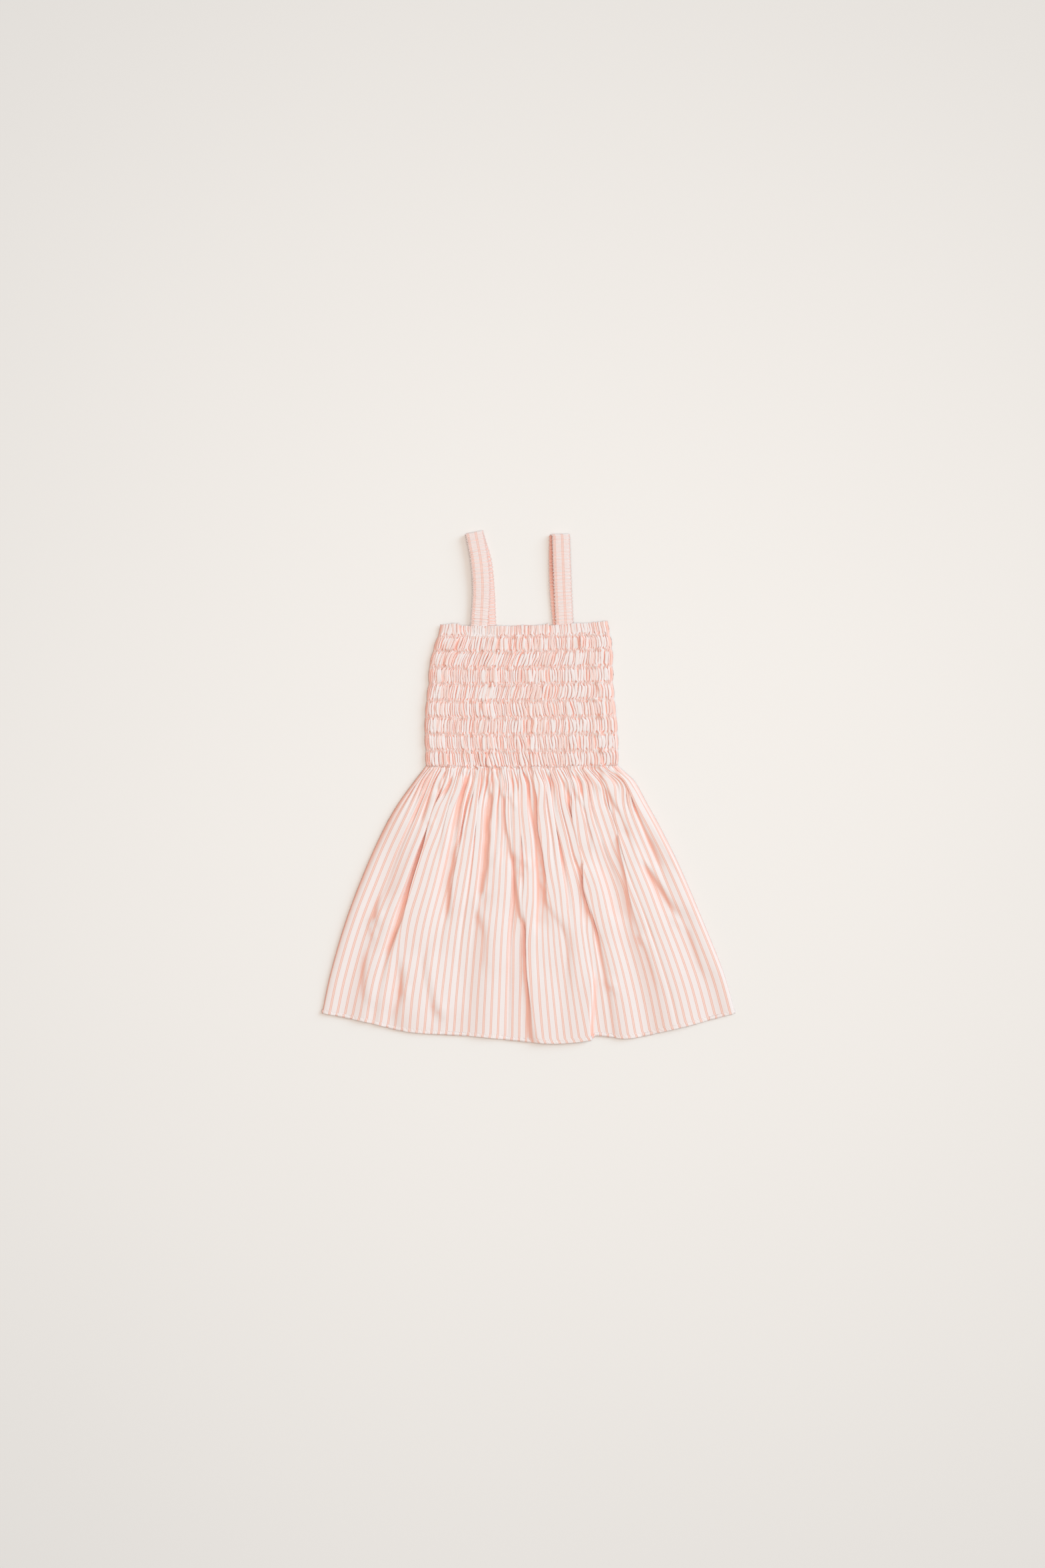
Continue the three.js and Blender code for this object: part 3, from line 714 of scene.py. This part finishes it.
def surface(name, panel, material, marks, facing_up=True):
    """A mesh of quads over the panel's grid of points, with its cloth coordinates as UVs, its marks
    of painted shade for the cloth's colour, and a thickness inwards from its outer face."""
    rows, columns = panel["x"].shape
    points = np.stack([panel["x"], panel["y"], panel["z"]], -1).reshape(-1, 3) * MM
    i, j = np.meshgrid(np.arange(rows - 1), np.arange(columns - 1), indexing="ij")
    corner = (i * columns + j).ravel()
    quads = np.stack([corner, corner + columns, corner + columns + 1, corner + 1], -1)
    if not facing_up:
        quads = quads[:, ::-1]
    uv = np.stack([panel["u"], panel["v"]], -1).reshape(-1, 2) * MM
    piece = mesh_piece(name, points, quads, material, uv)
    mark_painted_shade(piece, marks)
    shell = piece.modifiers.new("Thickness", "SOLIDIFY")
    shell.thickness = CLOTH * MM
    shell.offset = -1.0
    return piece


def mesh_piece(name, points, faces, material, uv=None):
    """An object at the origin from arrays of points and of faces that have equally many corners."""
    mesh = bpy.data.meshes.new(name)
    corners = faces.shape[1]
    mesh.vertices.add(len(points))
    mesh.vertices.foreach_set("co", points.astype(np.float32).ravel())
    mesh.loops.add(faces.size)
    mesh.loops.foreach_set("vertex_index", faces.astype(np.int32).ravel())
    mesh.polygons.add(len(faces))
    mesh.polygons.foreach_set("loop_start", np.arange(0, faces.size, corners, dtype=np.int32))
    mesh.polygons.foreach_set("use_smooth", np.ones(len(faces), dtype=bool))
    mesh.update(calc_edges=True)
    if uv is not None:
        layer = mesh.uv_layers.new(name="Cloth")
        layer.data.foreach_set("uv", uv[faces.ravel()].astype(np.float32).ravel())
    mesh.validate()
    mesh.materials.append(material)
    piece = bpy.data.objects.new(name, mesh)
    bpy.context.scene.collection.objects.link(piece)
    return piece


def strap_path(line):
    """Points on the strap's middle line, up the front run, round the shoulder fold and down the
    back run, and at each the direction across the strap and the one out of its face."""
    top = line[0]
    end = line[-1, 0]
    high = FRONT_RUN + STRAP_LOFT
    radius = (high - BACK_RUN) / 2
    lean = math.atan2(top[1] - line[1, 1], top[0] - line[1, 0])
    step = RIB_PITCH / RIB_POINTS
    up = np.linspace(end, top[0], int((top[0] - end) / step))
    turn = np.linspace(0.0, math.pi, 18)[1:-1]
    down = up[::-1]
    forward = radius * np.sin(turn)
    front_x = curve(line[:, 0], line[:, 1], up)
    fold_x = top[1] + (top[2] - top[1]) * turn / math.pi + forward * math.sin(lean)
    back_x = curve(line[:, 0], line[:, 2], down)
    tuck = 1.0 - smooth(up, end, end + 14.0)
    front_z = FRONT_RUN - 1.0 * tuck + STRAP_LOFT * smooth(up, end + 20.0, end + 75.0)
    fold_z = (high + BACK_RUN) / 2 + radius * np.cos(turn)
    back_z = BACK_RUN + 0.2 * tuck[::-1]
    x = np.concatenate([front_x, fold_x, back_x])
    y = np.concatenate([up, top[0] + forward * math.cos(lean), down])
    z = np.concatenate([front_z, fold_z, back_z])
    path = np.stack([x, y, z], -1)

    along = np.gradient(path, axis=0)
    along /= np.linalg.norm(along, axis=1, keepdims=True)
    climb = np.where(np.abs(along[:, 1]) < 0.3, 1.0, along[:, 1])
    side = np.stack([np.full(len(x), 1.0), -along[:, 0] / climb, 0 * x], -1)
    side[len(up) : len(up) + len(turn)] = (1.0, -math.tan(lean), 0.0)
    side = windows(side.T, 14).mean(-1).T
    side /= np.linalg.norm(side, axis=1, keepdims=True)
    return path, side, np.cross(side, along)


def strap_ribs(across, length, seed):
    """How high the cloth stands on the strap: arches between gathers of equal pitch, whose lines
    waver across it."""
    wave = length / RIB_PITCH + 0.2 * wander(length, seed, 6 * RIB_PITCH)
    for number, reach in ((1, 7.0), (2, 4.0), (3, 3.0)):
        drift = wander(across + 0.3 * reach * np.sin(length / reach), seed + number, reach)
        wave = wave + 0.22 * drift * np.sin(length / 5.0 + number)
    rib = np.abs(np.sin(np.pi * wave)) ** 0.7
    return np.clip(rib * (0.85 + 0.2 * wander(length, seed + 4, 2 * RIB_PITCH)), 0.0, 1.1)


def strap_shade_marks(line, points, rib):
    """The marks for painted shade in the strap's colour: between ribs, and a painted shadow on
    the back run where it shows beside the front run."""
    x, y, z = np.moveaxis(points, -1, 0)
    front_edge = curve(line[:, 0], line[:, 1], y) - STRAP_WIDTH / 2
    off = np.abs(x - front_edge)
    past = np.abs(x - front_edge - STRAP_WIDTH / 2) - STRAP_WIDTH / 2
    # Painted shadow of the front run on the back run beside it.
    behind = 1.4 * smooth(off, 1.8, 0.3)
    behind = behind + (0.25 + 0.6 * smooth(y, 205.0, 245.0)) * smooth(off, 5.5, 2.5)
    behind = behind + (0.05 + 0.45 * (1.0 - rib)) * smooth(past, -1.0, 0.5)
    return RIB_SHADE * (1.0 - rib) + behind * smooth(z, 2.8, 1.8)


def strap_tube(line):
    """A strap as rings of points round its middle line, each a flat oblong that the ribs widen and
    Also each point's place on the cloth and its mark for the painted shade in the colour."""
    path, side, out = strap_path(line)
    length = np.concatenate([[0.0], np.cumsum(np.linalg.norm(np.diff(path, axis=0), axis=1))])[:, None]
    angle = 2 * np.pi * np.arange(STRAP_AROUND) / STRAP_AROUND
    flat = (np.sign(np.cos(angle)) * np.abs(np.cos(angle)) ** 0.6)[None, :]
    deep = (np.sign(np.sin(angle)) * np.abs(np.sin(angle)) ** 0.45)[None, :]
    across = flat * STRAP_WIDTH / 2
    rib = strap_ribs(across, length, int(abs(line[0, 1])))
    wide = across + flat * (RIB_WIDE * rib - STRAP_PULL)
    thick = deep * (STRAP_HALF + RIB_HIGH * rib)
    points = path[:, None, :] + side[:, None, :] * wide[..., None] + out[:, None, :] * thick[..., None]
    u = np.broadcast_to(across - STRAP_STRIPE, rib.shape)
    v = np.broadcast_to(length, rib.shape)
    return points, u, v, strap_shade_marks(line, points, rib)


def closed_tube(name, points, u, v, material):
    """A mesh round a row of closed rings, with both ends filled by strips between opposite points."""
    rings, around, _ = points.shape
    i, j = np.meshgrid(np.arange(rings - 1), np.arange(around), indexing="ij")
    here, there = i * around + j, i * around + (j + 1) % around
    quads = np.stack([here, there, there + around, here + around], -1).reshape(-1, 4)
    j = np.arange(1, around // 2 - 1)
    cap = np.stack([j, around - j, around - j - 1, j + 1], -1)
    last = (rings - 1) * around
    faces = np.vstack([quads, cap[:, ::-1], cap + last])
    uv = np.stack([u, v], -1).reshape(-1, 2) * MM
    return mesh_piece(name, points.reshape(-1, 3) * MM, faces, material, uv)


def thread_points(panel, row, pitch, span, lift, radius):
    """Stitches along one row of a panel as short four-sided tubes that follow the cloth, one for
    each pitch of cloth and as long as the given span of it."""
    u = panel["u"][row]
    starts = np.arange(2.0, u[-1] - span, pitch)
    share = np.linspace(0.0, 1.0, 4)
    at = starts[:, None] + share[None, :] * span
    path = np.stack([np.interp(at, u, panel[key][row]) for key in ("x", "y", "z")], -1)
    path[..., 2] += lift + 0.5 * radius * np.sin(np.pi * share)
    angle = np.pi / 4 + np.pi / 2 * np.arange(4)
    ring = np.stack([0 * angle, np.cos(angle), np.sin(angle)], -1) * radius
    return path[:, :, None, :] + ring[None, None, :, :]


def threads(name, stitches, material):
    """One mesh from many short four-sided tubes with closed ends."""
    count, rings, around, _ = stitches.shape
    i, j = np.meshgrid(np.arange(rings - 1), np.arange(around), indexing="ij")
    here, there = i * around + j, i * around + (j + 1) % around
    quads = np.stack([here, here + around, there + around, there], -1).reshape(-1, 4)
    last = (rings - 1) * around
    quads = np.vstack([quads, [[0, 1, 2, 3]], [[last + 3, last + 2, last + 1, last]]])
    faces = (np.arange(count)[:, None, None] * rings * around + quads[None]).reshape(-1, 4)
    return mesh_piece(name, stitches.reshape(-1, 3) * MM, faces, material)


class Nodes:
    """The node tree of a new material, with short calls for the nodes that the cloth needs."""

    def __init__(self, name):
        self.material = bpy.data.materials.new(name)
        self.material.use_nodes = True
        self.tree = self.material.node_tree
        self.shader = self.tree.nodes["Principled BSDF"]

    def link(self, value, socket):
        if isinstance(value, bpy.types.NodeSocket):
            self.tree.links.new(value, socket)
        else:
            socket.default_value = value

    def math(self, operation, a, b=0.0):
        node = self.tree.nodes.new("ShaderNodeMath")
        node.operation = operation
        self.link(a, node.inputs[0])
        self.link(b, node.inputs[1])
        return node.outputs[0]

    def fade(self, value, low, high):
        """1 where the value is under low, 0 over high, with a soft step between them."""
        node = self.tree.nodes.new("ShaderNodeMapRange")
        node.interpolation_type = "SMOOTHSTEP"
        self.link(value, node.inputs["Value"])
        for key, number in (("From Min", low), ("From Max", high), ("To Min", 1.0), ("To Max", 0.0)):
            node.inputs[key].default_value = number
        return node.outputs["Result"]

    def mix(self, share, a, b):
        node = self.tree.nodes.new("ShaderNodeMix")
        node.data_type = "RGBA"
        self.link(share, node.inputs["Factor"])
        self.link(a, node.inputs[6])
        self.link(b, node.inputs[7])
        return node.outputs[2]

    def noise(self, vector, scale, detail=2.0):
        node = self.tree.nodes.new("ShaderNodeTexNoise")
        self.link(vector, node.inputs["Vector"])
        node.inputs["Scale"].default_value = scale
        node.inputs["Detail"].default_value = detail
        return node.outputs["Fac"]

    def stretched(self, vector, scale):
        node = self.tree.nodes.new("ShaderNodeMapping")
        self.link(vector, node.inputs["Vector"])
        node.inputs["Scale"].default_value = scale
        return node.outputs["Vector"]

    def bump(self, height, strength, distance):
        node = self.tree.nodes.new("ShaderNodeBump")
        node.inputs["Strength"].default_value = strength
        node.inputs["Distance"].default_value = distance
        self.link(height, node.inputs["Height"])
        return node.outputs["Normal"]

    def separate(self, vector):
        node = self.tree.nodes.new("ShaderNodeSeparateXYZ")
        self.link(vector, node.inputs["Vector"])
        return node.outputs["X"], node.outputs["Y"]

    def uv(self):
        node = self.tree.nodes.new("ShaderNodeUVMap")
        node.uv_map = "Cloth"
        return node.outputs["UV"]


def cotton(name, settings, bold=1.0):
    """Fine woven cotton with double pinstripes along the grain: on each side of a stripe's middle,
    a thin line, with a paler core between the two. Marks up to 1 paint the hollows' shade on the
    cloth, and those over it the slits' deeper shade."""
    m = Nodes(name)
    uv = m.uv()
    u, v = m.separate(uv)
    turns = m.math("DIVIDE", m.math("ADD", u, settings.stripe_pitch / 2), settings.stripe_pitch)
    off = m.math("ABSOLUTE", m.math("SUBTRACT", m.math("FRACT", turns), 0.5))
    off = m.math("MULTIPLY", off, settings.stripe_pitch)
    half = settings.stripe_width / 2 - settings.line_width / 2
    from_line = m.math("ABSOLUTE", m.math("SUBTRACT", off, half))
    line = m.fade(from_line, settings.line_width * 0.3, settings.line_width * 0.75)
    core = m.fade(off, half - 0.1 * MM, half + 0.1 * MM)

    yarns = m.noise(m.stretched(uv, (1.0, 0.03, 1.0)), 4200.0, 1.0)
    picks = m.noise(m.stretched(uv, (0.03, 1.0, 1.0)), 4200.0, 1.0)
    slub = m.math("ADD", m.math("MULTIPLY", yarns, 0.6), m.math("MULTIPLY", picks, 0.4))
    ground = m.mix(slub, (*settings.ground_colour, 1.0), (*settings.ground_shade, 1.0))
    core = m.math("MULTIPLY", core, CORE_STRENGTH * bold)
    coloured = m.mix(core, ground, (*settings.core_colour, 1.0))
    strength = m.math("ADD", m.math("MULTIPLY", picks, LINE_UNEVEN * bold), LINE_STRENGTH * bold)
    line = m.math("MINIMUM", m.math("MULTIPLY", line, strength), 1.0)
    coloured = m.mix(line, coloured, (*settings.line_colour, 1.0))
    # Painted shade: the mark mixes in the hollows' shade colour, and past 1 the slits' darker shade.
    shade_mark = m.tree.nodes.new("ShaderNodeAttribute")
    shade_mark.attribute_name = "Depth"
    shade_mark = shade_mark.outputs["Fac"]
    deep = m.math("MULTIPLY", m.fade(shade_mark, 1.0, 0.1), HOLLOW_SHADE_STRENGTH)
    coloured = m.mix(deep, coloured, (*settings.painted_hollow_shade, 1.0))
    deepest = m.math("MULTIPLY", m.fade(shade_mark, 2.0, 1.2), SLIT_SHADE_STRENGTH)
    coloured = m.mix(deepest, coloured, (*settings.painted_slit_shade, 1.0))
    m.link(coloured, m.shader.inputs["Base Color"])

    thread = 2.0 * math.pi / settings.yarn_pitch
    warp = m.math("SINE", m.math("MULTIPLY", u, thread))
    weft = m.math("SINE", m.math("MULTIPLY", v, thread))
    weave = m.math("ADD", m.math("MULTIPLY", warp, weft), m.math("MULTIPLY", slub, 1.5))
    m.link(m.bump(weave, 0.25, 0.03 * MM), m.shader.inputs["Normal"])
    m.shader.inputs["Roughness"].default_value = 0.82
    m.shader.inputs["Specular IOR Level"].default_value = 0.25
    m.shader.inputs["Sheen Weight"].default_value = 0.15
    m.shader.inputs["Sheen Roughness"].default_value = 0.5
    m.material.diffuse_color = (*settings.ground_colour, 1.0)
    return m.material


def thread_material(settings):
    """Twisted sewing thread: a soft spiral ridge along a pale matte yarn."""
    m = Nodes("Sewing thread")
    coords = m.tree.nodes.new("ShaderNodeTexCoord").outputs["Object"]
    twist = m.noise(m.stretched(coords, (1.0, 0.4, 0.4)), 2600.0, 1.0)
    shaded = m.mix(twist, (*settings.thread_colour, 1.0), (*settings.ground_shade, 1.0))
    m.link(shaded, m.shader.inputs["Base Color"])
    m.link(m.bump(twist, 0.3, 0.05 * MM), m.shader.inputs["Normal"])
    m.shader.inputs["Roughness"].default_value = 0.7
    return m.material


def floor_material(settings):
    """A plain matt pale surface, barely uneven in tone."""
    m = Nodes("Pale surface")
    coords = m.tree.nodes.new("ShaderNodeTexCoord").outputs["Object"]
    cloud = m.noise(coords, 1.3, 2.0)
    darker = [0.97 * channel for channel in settings.floor_colour]
    tone = m.mix(cloud, (*settings.floor_colour, 1.0), (*darker, 1.0))
    m.link(tone, m.shader.inputs["Base Color"])
    m.shader.inputs["Roughness"].default_value = 0.9
    m.shader.inputs["Specular IOR Level"].default_value = 0.1
    return m.material


def finish_piece(piece, flat=None):
    """The piece rides on the dress's one body."""
    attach(piece, "root")
    if flat is not None:
        flat = (flat[0] * MM, flat[1] * MM)


def length_setting(name, description, millimetres):
    """A setting that is a length."""
    return FloatProperty(name=name, description=description, default=millimetres * MM, unit="LENGTH")


def colour_setting(name, description, *shade):
    """A setting that is a colour."""
    return FloatVectorProperty(name=name, description=description, default=shade, subtype="COLOR")


def share_setting(name, description, usual):
    """A setting that is a share of the gathers' full height."""
    return FloatProperty(name=name, description=description, default=usual, min=0.2, max=1.5)


class DressSettings(PropertyGroup):
    stripe_pitch: length_setting("Stripe pitch", "From one double stripe to the next", 8.7)
    stripe_width: length_setting("Stripe width", "Across a double stripe", 2.5)
    line_width: length_setting("Line width", "Across one line of a stripe", 0.75)
    yarn_pitch: length_setting("Yarn pitch", "From one yarn of the weave to the next", 0.32)
    ground_colour: colour_setting("Ground", "Cloth between the stripes", 0.86, 0.785, 0.76)
    ground_shade: colour_setting("Ground shade", "Darker yarns of the ground", 0.82, 0.72, 0.69)
    core_colour: colour_setting("Stripe core", "Between a stripe's lines", 0.90, 0.66, 0.56)
    line_colour: colour_setting("Stripe line", "Lines of a stripe", 0.80, 0.40, 0.31)
    # The hollows' and slits' colours are painted shade: between gathers, and deep inside narrow folds.
    painted_hollow_shade: colour_setting("Hollows", "Cloth deep between gathers", 0.94, 0.475, 0.37)
    painted_slit_shade: colour_setting("Slits", "Cloth deep inside a narrow fold", 0.55, 0.20, 0.15)
    thread_colour: colour_setting("Thread", "Sewing thread", 0.92, 0.84, 0.80)
    floor_colour: colour_setting("Surface", "What the dress lies on", 0.855, 0.818, 0.782)
    front_depth: share_setting("Front depth", "Share of the gathers' full height on the front", 0.85)
    back_depth: share_setting("Back depth", "The same on the back, before it is pressed flat", 1.2)


def front_cloth(settings):
    """The front's bodice and skirt, with the short creases."""
    depth = settings.front_depth
    top = bodice(FRONT_COLUMNS, FRONT_STEPS, FRONT_SEED, FRONT_BASE, depth, 1.0, GATHER)
    bottom = skirt(FRONT_SKIRT_COLUMNS, FRONT_SEED, FOLDS, FRONT_CROWN, FRONT_FOLD_SHARE)
    for panel in (top, bottom):
        panel["z"] = panel["z"] + creases(panel["x"], panel["y"])
    return top, bottom


def front_panels(settings):
    """The front's bodice and skirt with the header and the hem turned under."""
    top, bottom = front_cloth(settings)
    return turned_under(top, False, **HEADER_TURN), turned_under(bottom, True, **HEM_TURN)


def pressed_below(panel, crown):
    """The panel turned to face down, with its top at the crown's heights and its gathers pressed
    flat just above the table."""
    share = (panel["v"] - panel["v"].min()) / np.ptp(panel["v"])
    height = crown_at(crown, share)
    room = height - BACK_LOWEST
    pressed = np.tanh((np.maximum(panel["z"], 0.0) / room) ** 3) ** (1 / 3)
    return {**panel, "z": height - room * pressed}


def back_panels(settings):
    """The back's bodice and skirt: the same cloth below the front. Between the straps its top edge
    shows just above the front's, and beside them it stays just below."""
    top = bodice(BACK_COLUMNS, BACK_STEPS, BACK_SEED, 0.0, settings.back_depth, 0.0, BACK_GATHER)
    between = np.exp(-(((top["x"] + 8.0) / 30.0) ** 4))
    near_edge = np.clip(1.0 - bodice_levels(BACK_STEPS), 0.0, 1.0)
    top["y"] = top["y"] + (1.1 * between - 0.5) * near_edge
    bottom = skirt(BACK_SKIRT_COLUMNS, BACK_SEED, BACK_FOLDS, BACK_RELIEF, BACK_FOLD_SHARE)
    return pressed_below(top, BACK_BODICE_CROWN), pressed_below(bottom, BACK_CROWN)


class DRESS_OT_front(Operator):
    """Make the front panel: the smocked bodice and the gathered skirt"""

    bl_idname = "dress.front"
    bl_label = "Front panel"

    def execute(self, context):
        settings = context.scene.dress
        gathered_cotton = cotton("Striped cotton bodice", settings, BODICE_BOLD)
        open_cotton = cotton("Striped cotton skirt", settings)
        top, bottom = front_panels(settings)
        upper = surface("front_bodice", top, gathered_cotton, hollows(top, **BODICE_SHADE_MARKS))
        lower = surface("front_skirt", bottom, open_cotton, hollows(bottom, **SKIRT_SHADE_MARKS))
        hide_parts("front")
        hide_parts("front")
        finish_piece(upper, (CUT_WIDTH, BODICE_CUT))
        finish_piece(lower, (CUT_WIDTH, SKIRT_CUT))
        return {"FINISHED"}


class DRESS_OT_back(Operator):
    """Make the back panel, which lies on the table under the front"""

    bl_idname = "dress.back"
    bl_label = "Back panel"

    def execute(self, context):
        settings = context.scene.dress
        material = cotton("Striped cotton back", settings)
        top, bottom = back_panels(settings)
        upper = surface("back_bodice", top, material, top_edge_painted_shade(top), facing_up=False)
        lower = surface("back_skirt", bottom, material, top_edge_painted_shade(bottom), facing_up=False)
        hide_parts("back")
        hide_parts("back")
        finish_piece(upper, (CUT_WIDTH, BODICE_CUT))
        finish_piece(lower, (CUT_WIDTH, SKIRT_CUT))
        return {"FINISHED"}


class DRESS_OT_straps(Operator):
    """Make the two shirred shoulder straps"""

    bl_idname = "dress.straps"
    bl_label = "Straps"

    def execute(self, context):
        settings = context.scene.dress
        material = cotton("Striped cotton straps", settings, STRAP_BOLD)
        for name, line in STRAPS.items():
            points, u, v, marks = strap_tube(line)
            strap = closed_tube(name + "_cloth", points, u, v, material)
            mark_painted_shade(strap, marks)
            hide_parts(name)
            finish_piece(strap, (STRAP_WIDTH, STRAP_CUT))
        return {"FINISHED"}


class DRESS_OT_stitches(Operator):
    """Make the stitches on the rows of elastic and along the hem"""

    bl_idname = "dress.stitches"
    bl_label = "Stitches"

    def execute(self, context):
        settings = context.scene.dress
        material = thread_material(settings)
        top, bottom = front_cloth(settings)
        rows = range(FRONT_STEPS, BANDS * FRONT_STEPS + 1, FRONT_STEPS)
        stitches = [thread_points(top, row, **ELASTIC_STITCH) for row in rows]
        elastic = threads("elastic_stitches", np.concatenate(stitches), material)
        finish_piece(elastic)
        from_edge = (1.0 - skirt_rows()[:, 0]) * SKIRT_LENGTH
        row = int(np.argmin(np.abs(from_edge - HEM_STITCHES)))
        hem = threads("hem_stitches", thread_points(bottom, row, **HEM_STITCH), material)
        finish_piece(hem)
        return {"FINISHED"}


class DRESS_OT_stage(Operator):
    """Make the surface, the lights and the camera"""

    bl_idname = "dress.stage"
    bl_label = "Stage"

    def execute(self, context):
        settings = context.scene.dress
        scene = context.scene
        sides = ((-1, -1), (1, -1), (1, 1), (-1, 1))
        corners = np.array([(x * FLOOR_HALF, y * FLOOR_HALF, FLOOR_HEIGHT) for x, y in sides])
        floor = mesh_piece("surface", corners, np.array([[0, 1, 2, 3]]), floor_material(settings))
        overhead = bpy.data.lights.new("Overhead", "AREA")
        overhead.size = OVERHEAD["size"]
        overhead.energy = OVERHEAD["power"]
        overhead.color = OVERHEAD["colour"]
        lamp = bpy.data.objects.new("Overhead", overhead)
        lamp.location = OVERHEAD["place"]
        scene.collection.objects.link(lamp)
        sun = bpy.data.lights.new("Window", "SUN")
        sun.angle = math.radians(SUN["angle"])
        sun.energy = SUN["strength"]
        sun.color = SUN["colour"]
        lamp = bpy.data.objects.new("Window", sun)
        lamp.rotation_euler = Vector(SUN["toward"]).to_track_quat("Z", "Y").to_euler()
        scene.collection.objects.link(lamp)
        world = bpy.data.worlds.new("Studio")
        world.use_nodes = True
        world.node_tree.nodes["Background"].inputs["Color"].default_value = (*WORLD_COLOUR, 1.0)
        world.node_tree.nodes["Background"].inputs["Strength"].default_value = WORLD_STRENGTH
        scene.world = world
        scene.view_settings.view_transform = "Standard"
        lens = bpy.data.cameras.new("Camera")
        lens.lens = CAMERA_LENS
        camera = bpy.data.objects.new("Camera", lens)
        camera.location = (*CAMERA_OVER, CAMERA_HEIGHT)
        scene.collection.objects.link(camera)
        scene.camera = camera
        return {"FINISHED"}


class DRESS_PT_parts(Panel):
    """The dress's pieces, in the order in which they are made"""

    bl_label = "Smocked dress"
    bl_idname = "DRESS_PT_parts"
    bl_space_type = "VIEW_3D"
    bl_region_type = "UI"
    bl_category = "Dress"

    def draw(self, context):
        for operator in OPERATORS:
            self.layout.operator(operator.bl_idname)
        for name in DressSettings.__annotations__:
            self.layout.prop(context.scene.dress, name)


OPERATORS = (DRESS_OT_stage, DRESS_OT_back, DRESS_OT_front, DRESS_OT_straps, DRESS_OT_stitches)
CLASSES = (DressSettings, *OPERATORS, DRESS_PT_parts)


def register():
    for cls in CLASSES:
        bpy.utils.register_class(cls)
    bpy.types.Scene.dress = PointerProperty(type=DressSettings)


def unregister():
    del bpy.types.Scene.dress
    for cls in reversed(CLASSES):
        bpy.utils.unregister_class(cls)


def main():
    register()
    bpy.ops.dress.stage()
    bpy.ops.dress.back()
    bpy.ops.dress.front()
    bpy.ops.dress.straps()
    bpy.ops.dress.stitches()


if __name__ == "__main__":
    main()
